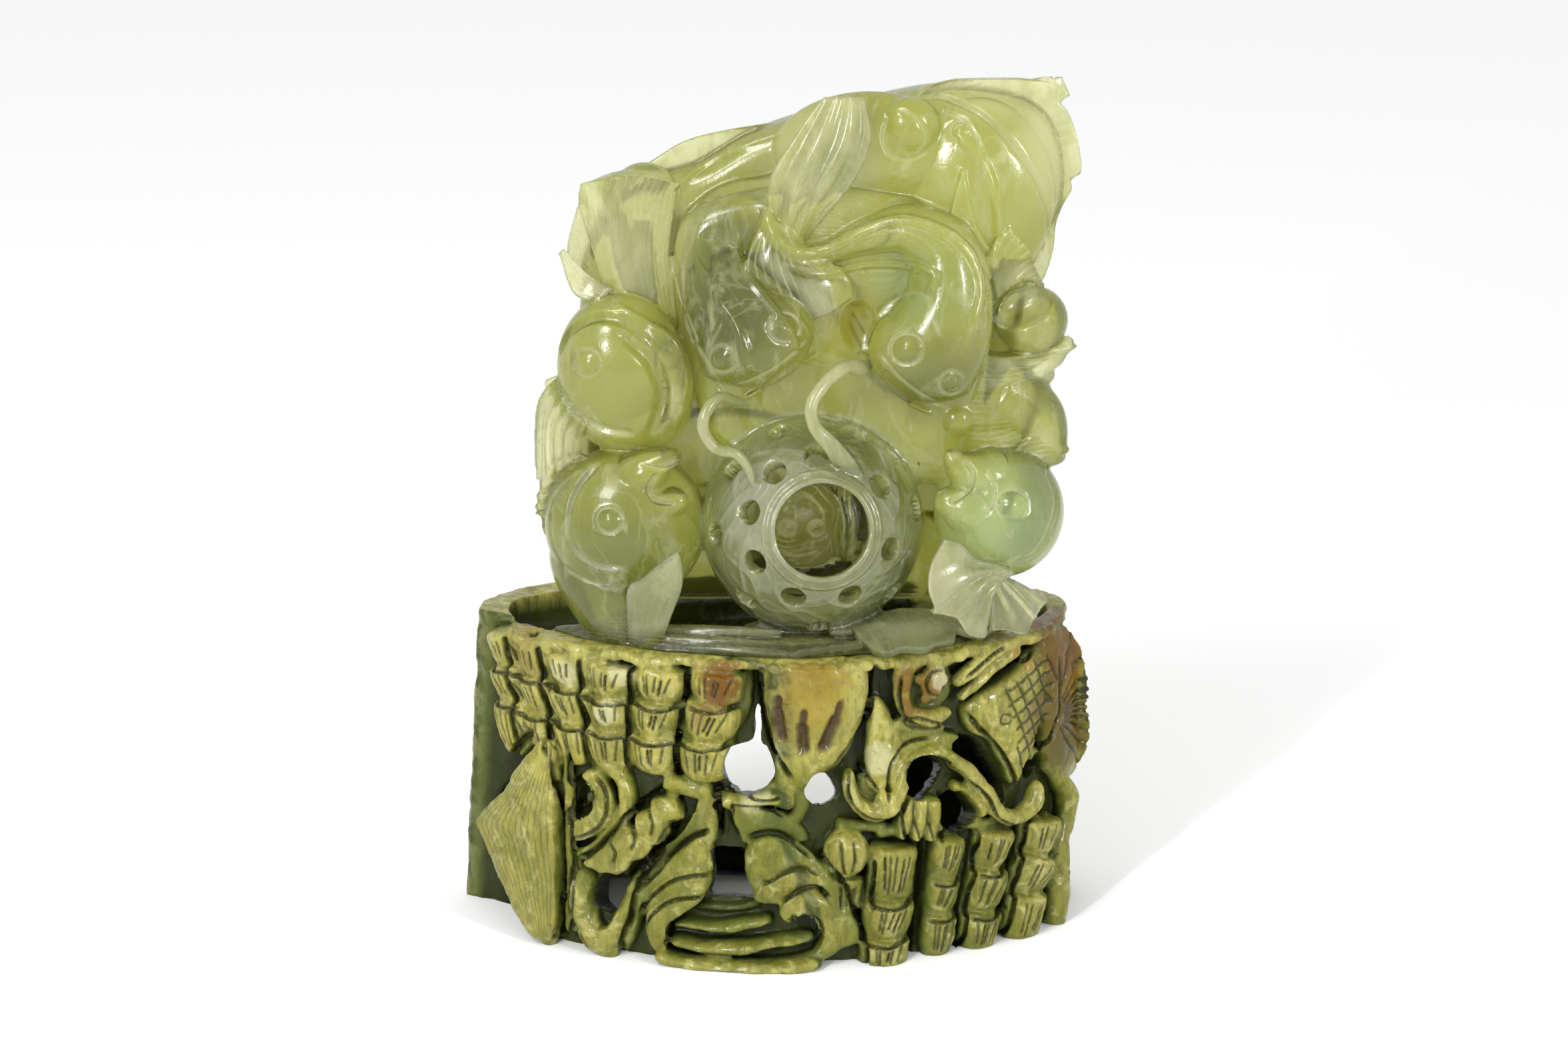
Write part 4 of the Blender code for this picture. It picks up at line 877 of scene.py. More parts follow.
plate(clay, SCALED_FISH, out=-1.4, thick=8, dish=-1.6, lean=(-0.4, 0))
carve(clay, [(50.6, 79), (56, 82.8), (63, 87), (70, 89.6)], [1.6, 2.2, 2.4, 2], [2.6] * 4, out=-1.8)
carve(clay, [(52.4, 74.4), (58, 78.6), (64.6, 83), (70.6, 86)], [1.3, 1.7, 1.7, 1.4], [2.4] * 4, out=-2.4)
snail = [(49.6, 85.6), (43.6, 88.4), (37.2, 86), (35.6, 79), (37.8, 73), (43.6, 70.6), (50.4, 71.6)]
carve(clay, snail, [1.8, 2.4, 2.6, 2.6, 2.4, 2.6, 2], [3] * 7, out=-1.8)
carve(clay, [(47.6, 83.6), (44.4, 83), (43.4, 79.4), (46.4, 77)], [2, 2.8, 2.8, 2.4], out=-1.2)
coil = [(36.4, 84), (43, 88), (50.4, 84.6), (51, 76), (45, 71.4), (37, 74)]
plate(clay, coil, out=-3.4, thick=6, dish=-0.6)
for x, z in ((40.8, 82.2), (46.8, 81.4), (42, 76.4)):
    lump(clay, wall(x, z, -0.6), (1.9, 1.6, 1.9), sides=14)
almond = [(33.6, 69.6), (38.6, 71.4), (45, 69.4), (49.4, 66.2), (43, 64.8), (37, 66)]
plate(clay, almond, out=-1.8, thick=7, dish=-0.4, lean=(0, 1.4))
under = [(36, 66.4), (44, 65.2), (52, 64.6), (54, 61), (47, 60.4), (41, 61.6), (37, 58), (33.6, 62)]
plate(clay, under, out=-2.2, thick=8, dish=-0.4)
fold = [(21, 58), (20.6, 52.6), (22.8, 47.8), (27.8, 44.9), (32.6, 45.8), (35, 50.6), (36.8, 56.4),
        (41, 59.8), (48, 61.6)]
carve(clay, fold, [1.5, 2, 2.4, 3, 2.8, 2.6, 2.5, 2.4, 2], [4] * 9, out=-2)
carve(clay, [(24.4, 55.6), (25.6, 50.6), (29.6, 50), (31.4, 56), (34, 62)], [1.6, 1.9, 2.2, 2.2, 2], out=-4.4)
lump(clay, wall(30.4, 47.8, -0.4), (3.1, 2.2, 3.3), sides=20)
carve(clay, [(28, 78), (29.6, 70), (31, 63), (30.6, 56), (28.4, 50)], [2, 4, 5.8, 5.4, 3], [3.4] * 5,
      out=-3.4)
for x, z in ((36.8, 41.4), (41, 40.6), (45, 39.8)):
    carve(clay, [(x + 0.8, z + 6.6), (x, z), (x - 1.6, z - 5.6)], [2, 2.6, 1.7], [4.6] * 3, out=-4)
ribbon = [(43.6, 62.4), (50, 57.8), (56, 52.2), (60.8, 45.4), (64.4, 39.6), (69.4, 36.4), (74.4, 38.6),
          (76.8, 45.6)]
carve(clay, ribbon, [1.8, 2.3, 2.5, 2.5, 2.4, 2.4, 2.2, 1.5], [3.4] * 8, out=-2)
carve(clay, [(51, 49.6), (56.4, 45.6), (60.6, 38.4)], [1.8, 2, 2], [3] * 3, out=-4)
carve(clay, [(74, 55), (79, 50), (84.6, 42.6)], [2, 2, 2], out=-4)
carve(clay, [(83.4, 44), (86.6, 37), (86.2, 29), (83, 20.6)], [2.4, 3.2, 3.2, 2.6], [3.6] * 4, out=-3)
shell = [(76.4, 86), (82.4, 88), (87.6, 84.6), (90.6, 76), (92.4, 66), (92.8, 56), (91.6, 48), (88, 41.6)]
shell += [(83.4, 43.4), (79.6, 50), (78.4, 60), (78.6, 74)]
plate(clay, shell, out=-0.6, thick=10, dish=-1.0)
carve(clay, [(66, 89), (74, 88.6), (82, 88.4)], [2, 2.4, 2], out=-3)
for x, z, width, height in ((84.4, 17.4, 4.2, 6.6), (84, 6.4, 4.6, 7.4)):
    carve(clay, [(x, z + height), (x, z), (x - 1, z - height)], [width, width, width * 0.8], out=-3.6)
for x, z in ((24, 40), (36, 37.4), (52, 36.6), (64, 35.6), (74, 34.4)):
    carve(clay, [(x - 7, z + 0.8), (x + 8, z - 0.6)], [2, 1.6], [2.6, 2.2], out=-5)

tell("the whole front")


# %% Cuts round the forms, on the shell and on the scales
def shell_cuts():
    """Lines that spread over the shell from its hinge."""
    for degrees in (78, 63, 48, 30, 13, -4, -19, -33, -46, -58, -70):
        turn = math.radians(degrees)
        far = 12 + 13 * abs(math.sin(turn)) ** 1.3
        spots = []
        for share in (0.16, 0.45, 0.75, 1.0):
            bend = turn - 0.22 * share * math.sin(2 * turn)
            reach = far * share
            x, z = SHELL_CENTRE
            spots.append((x + math.cos(bend) * reach, z + math.sin(bend) * reach * 1.05))
        yield wall_line(spots, 0.75, 0.9)


# Where the tool cut round the forms: the cut's half width, its depth and its (x, z) spots
EDGES = (
    (2.0, 3.4, [(-69, 62.6), (-79.4, 47.6), (-90.6, 30), (-87.4, 22), (-82, 13.5), (-76.8, 5.4), (-72, 0.5)]),
    (1.6, 3.0, [(-62.4, 59), (-61.6, 45), (-60.8, 31), (-60.8, 19), (-61.5, 8), (-63.5, 2)]),
    (1.2, 1.8, [(-57.8, 45), (-58, 31), (-57.4, 20), (-58, 9), (-60, 3)]),
    (1.8, 3.5, [(-58.6, 58), (-58.6, 51), (-56.6, 46.5), (-57.6, 41.5), (-60, 39)]),
    (1.6, 3.0, [(-54.6, 50.5), (-53, 46.5), (-54, 42.8), (-57.4, 39.4), (-60, 37.6)]),
    (1.0, 1.4, [(-51, 52.6), (-48.6, 49.8), (-47.6, 46), (-48.6, 40.6), (-52.8, 35.4), (-58.6, 32.6)]),
    (1.6, 3.0, [(-31.5, 50.4), (-36.6, 46.6), (-41.6, 42.6), (-46.6, 37), (-51.4, 31.4), (-56.6, 27)]),
    (1.8, 3.4, [(-29.5, 41.6), (-33.6, 33.4), (-37, 29.6), (-40.8, 25.6), (-42.6, 22)]),
    (0.8, 1.0, [(-36.4, 45.4), (-34.6, 41.4), (-35.2, 38)]),
    (0.8, 1.0, [(-41.6, 40.6), (-39.6, 36.4), (-40.8, 33)]),
    (0.8, 1.0, [(-47.4, 34.8), (-45.2, 31.6), (-46, 28.4)]),
    (1.3, 2.2, [(-57.8, 25), (-59.4, 18), (-58.6, 11), (-55, 4.5), (-52.5, 0)]),
    (1.6, 3.0, [(-30.2, 37.6), (-34.8, 30.4), (-37.6, 26.6), (-39.6, 20.5), (-41.2, 13.6), (-43, 8),
                (-45, 1)]),
    (1.4, 2.2, [(-29, 39.9), (-34, 32.4), (-39.3, 26)]),
    (1.2, 2.0, [(-19.6, 39.8), (-23.6, 37.4), (-28, 33.6), (-33.8, 27), (-38.8, 21.4)]),
    (1.0, 1.8, [(-18.4, 27.6), (-23.6, 27.2), (-30.6, 24), (-36, 19), (-39, 14)]),
    (1.0, 1.8, [(-19.6, 21.2), (-24, 21), (-30, 19), (-35, 15), (-37.8, 10.4)]),
    (1.0, 1.6, [(-22, 18.6), (-27, 14.6), (-30.4, 11.2), (-31.6, 6)]),
    (1.2, 2.0, [(9.6, 32.6), (4, 37.2), (-2, 39.6), (-7.6, 38)]),
    (1.0, 1.8, [(-4.2, 25.4), (1, 28.2), (7, 29.8), (11.6, 28)]),
    (1.0, 1.8, [(1.4, 20.2), (6, 23.4), (11, 24), (15, 20.6)]),
    (1.0, 1.6, [(3.4, 15), (8, 16.2), (12, 14.4), (12.6, 9.4)]),
    (1.4, 2.6, [(13, 32), (17.4, 27), (22, 17), (25, 6), (25.4, 0)]),
    (1.8, 4.0, [(-17, 51), (-16.4, 44), (-16.4, 38)]),
    (0.9, 1.6, [(-12.4, 48.6), (-12.6, 42), (-10, 36.6)]),
    (0.8, 1.4, [(-14, 51.4), (-8, 50.6), (-3, 49.6), (1, 50.8)]),
    (0.9, 1.5, [(-13, 47.9), (-7, 47.6), (-2, 46.6), (2, 44)]),
    (1.2, 2.4, [(-4.4, 88), (-4, 76), (-1, 64), (4, 56)]),
    (1.4, 2.8, [(27, 87), (26.6, 79), (24.4, 70.6), (17.6, 60.6), (13.6, 56.6)]),
    (0.8, 1.4, [(47.6, 79.4), (45.6, 77.2), (42.4, 78), (41, 81), (42.8, 84.4), (46.6, 84.8)]),
    (1.3, 2.4, [(33.8, 84), (33.6, 77), (36, 71), (42, 67.6)]),
    (0.8, 1.3, [(35.4, 70.6), (38.6, 71.6), (43, 70), (46.4, 67.6), (42, 66.8), (37.6, 68.4), (35.4, 70.6)]),
    (0.9, 1.8, [(31, 48), (31.4, 55), (32.6, 59.7), (36.9, 63.7), (43.5, 64.6)]),
    (0.9, 1.8, [(24, 57), (26.2, 54), (28, 51.4)]),
    (1.3, 2.4, [(19.6, 58), (19.2, 52), (22, 46.4), (27.4, 43), (33.4, 43.4), (36.6, 49), (38, 54)]),
    (1.3, 2.4, [(53.4, 70), (58, 64), (62.6, 58.4), (66.6, 51), (69.8, 43.6)]),
    (1.1, 2.0, [(71.4, 44.8), (74.4, 49.6), (78, 56), (80.8, 66), (80.4, 80)]),
    (1.2, 2.2, [(54.4, 73.6), (61, 77), (69, 80.6), (74.6, 85.4)]),
    (1.0, 1.8, [(52.6, 81.4), (58, 85.4), (63, 88.4)]),
    (1.0, 1.8, [(42, 60.6), (49.6, 55), (55, 49.6), (59.4, 44.4), (62.6, 37.8), (69.6, 34.2), (76.2, 37),
                (78.4, 44)]),
    (1.0, 1.8, [(34.8, 47.4), (35, 40), (38.6, 33.8)]),
    (1.0, 1.8, [(47.8, 46.4), (49.2, 40), (46.8, 34)]),
    (0.6, 0.8, [(38.6, 47.4), (38.4, 41), (40.6, 35.2)]),
    (0.6, 0.8, [(42.6, 47), (42.4, 40.6), (44, 35.2)]),
    (0.8, 1.2, [(17.6, 38), (18, 32), (19, 27.4)]),
    (0.8, 1.2, [(21.4, 38), (21.6, 32), (21, 27.4)]),
)


def edge_cuts():
    """The cuts round the forms, under each cup's lip and between the strings."""
    for width, depth, spots in EDGES:
        yield wall_line(spots, width, depth)
    for (width, string), (_, following) in zip(STRINGS, STRINGS[1:]):
        for x, z in string[1:-1]:
            yield wall_line([(x - width, z - 0.6), (x, z - 1.4), (x + width, z - 0.6)], 1.1, 1.5)
        if following[0][0] - string[0][0] < 20:
            middles = [(Vector(a) + Vector(b)) / 2 for a, b in zip(string, following)]
            yield wall_line(middles, 1.2, 2.6)


def inside(spot, outline):
    """Whether a spot lies inside an outline: a ray to the right crosses its edge an odd number of times."""
    crossings = 0
    for a, b in zip(outline, outline[1:] + outline[:1]):
        if (a[1] > spot[1]) != (b[1] > spot[1]):
            crossings += spot[0] < a[0] + (spot[1] - a[1]) / (b[1] - a[1]) * (b[0] - a[0])
    return crossings % 2 == 1


def scale_cuts():
    """The scaled fish's crossing lines behind its head, and its ring eye."""
    for origin, way, step in (
        ((58, 64), (0.36, -0.93), (3.15, 1.3)),
        ((60, 50.5), (0.88, 0.47), (-0.35, 4.05)),
    ):
        for number in range(8):
            start = Vector(origin) + Vector(step) * number
            spots = [start + Vector(way) * reach for reach in range(-30, 31)]
            spots = [spot for spot in spots if inside(spot, SCALED_FISH) and spot.x + 0.24 * spot.y > 81.4]
            if len(spots) > 3:
                yield wall_line([spots[0], spots[len(spots) // 2], spots[-1]], 0.75, 0.8)
    yield wall_line(circle(64.4, 66.6, 1.5, 12), 0.6, 0.6)


stand_lines = [line for lines in (cup_cuts, shell_cuts, scale_cuts, edge_cuts) for line in lines()]
print("lines to cut into the stand:", len(stand_lines))

# %% [markdown]
# ## The stand's back, hollow and openings
# The back is plainer than the front. After the forms are fused, the seat, the hollow, the arch at the
# back and the openings are cut. The openings have drawn outlines of their own, since they are the gaps
# between the stems and leaves.

# %% The back
# Broad ribbed lotus leaves that hang from the rim and rise from the foot
for turn in range(30, 160, 24):
    places = [plan(math.radians(turn), level, 1.5) for level in (84, 74, 64)]
    draw_out(clay, places, [9, 12, 4], [3, 4, 2], outward, sides=54, flutes=9)
for turn in (38, 142):
    places = [plan(math.radians(turn), level, 1.5) for level in (2, 20, 36, 54)]
    draw_out(clay, places, [6, 9, 8, 3], [3, 4, 4, 2], outward, sides=54, flutes=7)

tell("the back")

# %% The openings and what else is cut away
OPENINGS = (
    [(-7.4, 67.4), (-6.6, 76), (-5, 76.6), (-4.6, 67), (-3, 65), (-1, 59), (-2.4, 54.4), (-8, 51.6),
     (-13.4, 53.4), (-15.6, 58.6), (-13.6, 64.6)],
    [(9.4, 56.4), (12.6, 57.6), (15.6, 56), (17.6, 51.6), (16, 48.4), (11.6, 47.8), (8.4, 51)],
    [(-19, 34.8), (-14, 35.6), (-9.6, 35), (-8.8, 28), (-6.6, 21.4), (-13, 21.6), (-19.6, 21.4), (-18.4, 28)],
    [(-46.6, 25), (-44.4, 22.4), (-46.6, 17), (-50, 12.6), (-53.4, 14.4), (-54, 20), (-51.4, 24.4)],
    [(51, 62), (55.6, 64.4), (60.6, 62), (65, 55), (68.4, 47), (68.6, 41), (64.8, 42), (61, 50),
     (55.6, 56.6)],
    [(36.6, 53.6), (38.4, 59.4), (45, 60), (49.6, 56), (46.4, 50), (40.4, 47)],
    [(48.6, 45.4), (52.6, 48.4), (57, 44.8), (59, 39.6), (54, 36.4), (48.4, 38.6)],
    [(75.6, 53.4), (78.6, 53.6), (79.4, 48.4), (76.6, 46.8)],
    [(77.6, 40.4), (81.4, 42.4), (82.6, 37), (79, 34.6)],
)


def rod(form, start, end, half_width, half_height, sides=48, flare=1.0):
    """A straight oval cutter from one place to another, where it may be flared."""
    way = end - start
    side = way.cross(UP).normalized()
    turned = Matrix((side, way.cross(side).normalized(), way.normalized())).transposed().to_4x4()
    shape = Matrix.Translation((start + end) / 2) @ turned @ Matrix.Diagonal((half_width, half_height, 1, 1))
    size = {"segments": sides, "radius1": 1, "radius2": flare, "depth": way.length}
    bmesh.ops.create_cone(form, cap_ends=True, matrix=shape, **size)


OPENING_DEPTH = 24


def opening(form, outline):
    """A cutter with a smooth outline through the stand's front wall, sloping down as it goes in."""
    spots = vectors(outline)
    middle = sum(spots, Vector((0, 0))) / len(spots)
    way = (outward(wall(middle.x, middle.y)) + 0.3 * UP).normalized()
    rim = bmesh.ops.create_circle(form, segments=48, radius=1, cap_ends=True)["verts"]
    face = rim[0].link_faces[0]
    for vertex in rim:
        spot = closed(spots, math.atan2(vertex.co.y, vertex.co.x) / math.tau)
        vertex.co = wall(spot.x, spot.y) + way * 6
    grown = bmesh.ops.extrude_face_region(form, geom=[face])["geom"]
    lifted = [part for part in grown if isinstance(part, bmesh.types.BMVert)]
    bmesh.ops.translate(form, verts=lifted, vec=-way * OPENING_DEPTH)


def layer(form, low, high):
    """Everything between two heights: a block that is wider and deeper than the work."""
    low, high = Vector((-120, -80, low)), Vector((120, 80, high))
    shape = Matrix.Translation((low + high) / 2) @ Matrix.Diagonal((*(high - low), 1))
    bmesh.ops.create_cube(form, size=1, matrix=shape)


ARCH_START = Vector((0, PLAN_CENTRE_Y, 33))
ARCH_END = Vector((0, 60, 33))
ARCH_HALF_WIDTH = 34
ARCH_HALF_HEIGHT = 23


def stand_cuts():
    """What is cut from the stand, each as a function that draws its tool."""
    tools = [
        lambda form: layer(form, -30, 0),
        lambda form: layer(form, STAND_HEIGHT, STAND_HEIGHT + 30),
        lambda form: plan_block(form, RIM_WIDTH, LEDGE_HEIGHT, STAND_HEIGHT + 8),
        lambda form: plan_block(form, WALL, -9, LEDGE_HEIGHT + 2),
        lambda form: rod(form, ARCH_START, ARCH_END, ARCH_HALF_WIDTH, ARCH_HALF_HEIGHT),
    ]
    return tools + [lambda form, outline=outline: opening(form, outline) for outline in OPENINGS]


print("openings through the front:", len(OPENINGS))


# %% The stand itself
def measure_sunk(mesh):
    """Gives each vertex its depth inside the stand's plan, where the finish paints dirt and painted shade
    into the recesses and painted light on the proud parts.
    """
    x, y, z = read_vectors(mesh.vertices, "co").T
    half_width, front = plan_size(np.clip(z, 0, STAND_HEIGHT))
    before = y < PLAN_CENTRE_Y
    power = np.where(before, FRONT_ROUNDNESS, BACK_ROUNDNESS)
    depth = np.where(before, front, BACK_DEPTH)
    across = np.abs(x) / half_width
    along = np.abs(y - PLAN_CENTRE_Y) / depth
    reach = np.maximum((across**power + along**power) ** (1 / power), 0.05)
    slope = np.hypot((across / reach) ** (power - 1) / half_width, (along / reach) ** (power - 1) / depth)
    sunk = (1 - reach) / slope
    give(mesh, "sunk", np.where(z < 88.5, np.clip(sunk, -3, 20), np.minimum(sunk, 1.0)))


stand_mesh = fused(clay, eased=6)
stand_mesh = cut(stand_mesh, stand_cuts())
largest_island(stand_mesh)
print("stand before thinning:", len(stand_mesh.polygons), "faces")
roughen(stand_mesh, ((8, 0.7), (3.2, 0.32), (1.3, 0.12)))
touched = engrave(stand_mesh, stand_lines)
for hollow in POD_HOLLOWS:
    lines = [wall_line(hollow, 1.6, 1.0), wall_line([hollow[1]] + hollow[1:], 2.6, 2.0)]
    touched += engrave(stand_mesh, lines, broad=3)
stand_mesh = thinned(stand_mesh, PIECE_TRIANGLES)
measure(stand_mesh, touched)
measure_sunk(stand_mesh)
comb(stand_mesh)
stand = finished("stand", stand_mesh, "stand")

# %% [markdown]
# ## The fish carving
# Goldfish dive on a pierced ball from above and nose it from both sides, all grown from one pale stone.
# Each fish is a head shaped like an egg, a body drawn out behind it, and fins fanned out as thin sheets.
# The ball is a plain round lump at first, with two fine rims where its window will be.

# %% Sizes of the ball and the heads
BALL_CENTRE = Vector((10.0, -6.0, 122.0))
BALL_RADIUS = 31.5
BALL_WALL = 4.2
WINDOW_AXIS = Vector((0.093, -0.970, 0.225)).normalized()
WINDOW_RADIUS = 13.2
SMALL_HOLE_RADIUS = 3.0
INNER_RING = (41.0, (34, 92, 128, 165, 205, 247, 293, 342))
OUTER_RING = (66.0, (8, 64, 110, 145, 183, 225, 270, 317))

# Each fish's head is an egg: its centre and its half sizes
LOWER_LEFT = (Vector((-43, -5, 121)), Vector((23, 19, 23)))
LOWER_RIGHT = (Vector((63, -5, 125)), Vector((18.5, 18, 19)))
MIDDLE_LEFT = (Vector((-44, -2, 167)), Vector((18, 14, 21)))
TOP_RIGHT = (Vector((56, 7, 214)), Vector((22, 11, 28)))
print("the ball is", 2 * BALL_RADIUS, "mm wide and its window", 2 * WINDOW_RADIUS, "mm")

# %% The mass of stone and the divers
clay = bmesh.new()
# The mass of stone that the fish stand out from, and its hidden foot on the stand's back ledge
left = [(-40, 93), (-56, 110), (-54, 140), (-56, 180), (-50, 208), (-34, 218), (-22, 222), (-4, 232)]
right = [(24, 240), (50, 244), (74, 237), (80, 214), (70, 186), (72, 150), (66, 112), (46, 93)]
slab(clay, left + right, 5, 24, 7)
middle = [(-20, 147), (-26, 170), (-29, 198), (-22, 213), (4, 219), (30, 217), (54, 208), (60, 184)]
slab(clay, middle + [(57, 150), (48, 132), (14, 136), (-12, 136)], -7, 12, 7)
lump(clay, (26, 6, 227), (27, 9, 17), sides=48)
draw_out(clay, [(-45, 23, 86), (0, 25, 87), (45, 23, 86)], [7, 7, 7], [10, 11, 10], facing=UP)

# Two fish that dive on the ball, seen from above, each bent over like a hook
left = [(12, 5, 222), (-1, 4, 216), (-11, 4, 213), (-18, 2, 207), (-19, -2, 199), (-15.5, -7, 191)]
left += [(-10, -11, 183), (-5, -13, 175), (-1, -12, 165)]
widths = [4, 5, 6, 7.5, 9.5, 12, 15, 17, 10]
draw_out(clay, left, widths, [4, 5, 6, 7, 8, 10, 13, 13, 7], sides=40, steps=70)
right = [(-2, -5, 207), (5, -6, 201), (15, -6, 202), (25, -7, 206), (36, -7, 208), (46, -8, 202)]
right += [(48, -10, 191), (45, -12, 179), (39, -13, 170), (34, -12, 161)]
widths = [2, 3, 3.5, 5, 7, 10, 12, 15, 16, 9]
draw_out(clay, right, widths, [3, 4, 5, 7, 9, 11, 12, 12, 11, 6], sides=40, steps=70)

# Two round tendrils that hang from the divers' mouths and end on the ball
left = [(-8, -12, 158), (-12, -20, 162), (-16, -24, 164), (-19.5, -27, 161), (-20.4, -28, 156),
        (-17, -28, 150.5)]
left += [(-11.5, -28, 149), (-8, -27.5, 144.5), (-6.5, -27, 139)]
draw_out(clay, left, [1.5, 1.7, 1.7, 1.7, 1.7, 1.6, 1.5, 1.3, 1.0], steps=80)
right = [(27, -8, 167), (23, -15, 170), (18.5, -20, 171.5), (13, -25, 168), (9.6, -28, 163),
         (10.5, -28.5, 157)]
right += [(15, -28, 151.5), (19.5, -26.5, 145), (24, -26, 140.5)]
draw_out(clay, right, [2.6, 2.4, 2.1, 1.9, 1.8, 1.9, 2.4, 2.8, 1.6],
         [2.4, 2.2, 2, 1.9, 1.8, 1.8, 1.6, 1.4, 1], steps=80)

tell("the divers")

# %% The tail between them, and the ball
# The right diver's tail, opened upwards over the left diver's back, and the lobe that hangs from it
near = [(1, -4, 203), (-2, -6, 212), (-2, -6, 222), (5, -5, 234), (13, -2, 244)]
far = [(6, -4, 202), (13, -6, 212), (21, -6, 221), (26, -5, 233), (24, -2, 244)]
fan(clay, near, far, thick=4.5, ribs=3, rib=0.7, lines=13, bulge=2.5)
near = [(2, -4, 202), (8, -5, 202), (16, -5, 205)]
far = [(4, -4, 208), (13, -4, 215), (24, -4, 210)]
fan(clay, near, far, thick=3, ribs=3, rib=0.4, lines=8, bulge=1)
near = [(-3, -7, 213), (-7, -9, 205), (-9, -11, 198), (-6, -12, 191), (3, -10, 185)]
far = [(4, -7, 205), (10, -8, 201), (16, -8, 198), (20, -8, 194), (21, -8, 189)]
tip = [(3, -10, 185), (11, -9, 184), (21, -8, 189)]
fan(clay, near, far, tip=tip, thick=5, lines=11, bulge=2, ribs=3, rib=0.25)

# The ball, and two fine rims round its window
lump(clay, BALL_CENTRE, [BALL_RADIUS] * 3, sides=120)
for radius, thick, sink in ((WINDOW_RADIUS + 0.8, 0.8, 0.2), (WINDOW_RADIUS + 3.1, 0.6, 1.5)):
    rim = BALL_CENTRE + WINDOW_AXIS * (math.sqrt(BALL_RADIUS**2 - WINDOW_RADIUS**2) - sink)
    ring(clay, rim, WINDOW_AXIS, radius, thick, steps=90)

tell("the tail and the ball")

# %% The fish and fins at the left
# A fish's head in profile, its mouth up and to the right, its body down to the base
centre, radii = LOWER_LEFT
lump(clay, centre, radii, sides=72)
body = [(-44, -4, 120), (-46, -5, 110), (-45, -8, 101), (-42, -11, 92), (-40, -12, 85)]
draw_out(clay, body, [19, 19, 15, 11, 9], [15, 16, 14, 11, 8])
draw_out(clay, [(-44, -9, 132), (-37, -13, 139), (-32, -15, 143), (-27, -16, 145)], [8, 7, 4, 1.8])
draw_out(clay, [(-42, -12, 124), (-35, -14, 128), (-29, -16, 131), (-25, -17, 132)], [10, 8, 4.5, 2])
near = [(-50, -7, 140), (-58, -3, 142), (-65, 1, 137)]
far = [(-58, -9, 127), (-63, -5, 124), (-68, 1, 122)]
fan(clay, near, far, ribs=5, rib=0.5, lines=10, thick=2.6, bulge=1)
near = [(-60, -3, 123), (-67, 1, 123)]
far = [(-54, -1, 102), (-60, 2, 104)]
fan(clay, near, far, ribs=4, rib=0.3, lines=10, thick=3, bulge=2)

# A hooded head above it, its gill cover folded forward at the right, and a ribbed fin below
centre, radii = MIDDLE_LEFT
lump(clay, centre, radii, sides=72)
lump(clay, (-41, -1, 155), (17, 12, 14), sides=60)
flap = [(-42, -8, 180), (-34, -9, 176), (-29, -9, 168), (-28, -9, 159), (-31, -8, 150)]
draw_out(clay, flap, [3, 5, 5, 4, 2], [2, 4, 4, 4, 2], steps=60)
near = [(-50, -8, 156), (-55, -7, 147), (-56, -3, 137)]
far = [(-60, -4, 166), (-67, 1, 155), (-68, 3, 132)]
fan(clay, near, far, ribs=5, rib=0.5, lines=15, thick=3, bulge=2)
near = [(-52, 6, 166), (-50, 6, 110)]
far = [(-66, 7, 160), (-62, 7, 110)]
fan(clay, near, far, tip=[(-50, 6, 110), (-62, 7, 112)])
near = [(-50, -4, 186), (-57, -2, 188), (-61, 1, 199)]
far = [(-46, -4, 190), (-52, 0, 192), (-60, 2, 200)]
fan(clay, near, far, thick=2.2, lines=4)

# The tall fin at the top left, the lump on its corner and the thin fins behind it
near = [(-28, 3, 180), (-30, 3, 198), (-29, 4, 212), (-28, 5, 218)]
far = [(-46, 3, 182), (-51, 3, 198), (-55, 4, 212), (-54, 5, 218)]
edge = [(-28, 5, 218), (-34, 3, 222), (-44, 3, 222), (-54, 5, 218)]
fan(clay, near, far, tip=edge, thick=6, ribs=3, rib=0.3, lines=16, bulge=2)
lump(clay, (-37, 5, 216), (9, 6, 8))
near = [(-48, 6, 188), (-52, 7, 198), (-53, 8, 213)]
far = [(-52, 8, 190), (-59, 9, 197), (-54, 9, 216)]
fan(clay, near, far, thick=2, lines=4)
edge = [(-50, 11, 216), (-38, 13, 221), (-26, 14, 228), (-14, 15, 231), (-2, 15, 233)]
fan(clay, [(-44, 11, 200), (-50, 11, 216)], [(-4, 15, 214), (-2, 15, 233)], tip=edge, thick=2.2)

tell("the left side")

# %% The fish and fins at the right
# A fish turned up at the top right, its round nose to the left, in front of a great back fin
centre, radii = TOP_RIGHT
lump(clay, centre, radii, sides=72)
lump(clay, (37, 2, 235), (8.5, 6, 8.5), sides=32)
near = [(20, 9, 226), (30, 10, 236), (42, 10, 245)]
far = [(50, 9, 190), (62, 10, 186), (73, 12, 184)]
tip = [(42, 10, 245), (52, 10, 247), (63, 11, 247), (75, 12, 245.5), (82, 12, 242), (78.5, 12, 240.5)]
tip += [(81.5, 12, 237), (83.5, 12, 232), (85, 12, 226), (85.5, 12, 219.5), (82, 12, 219), (83, 12, 215)]
tip += [(80.5, 12, 210), (78.5, 12, 204), (78, 12, 197), (76, 12, 190), (73, 12, 184)]
fan(clay, near, far, tip=tip, thick=2.4, ribs=6, rib=0.25, lines=30, across=80)

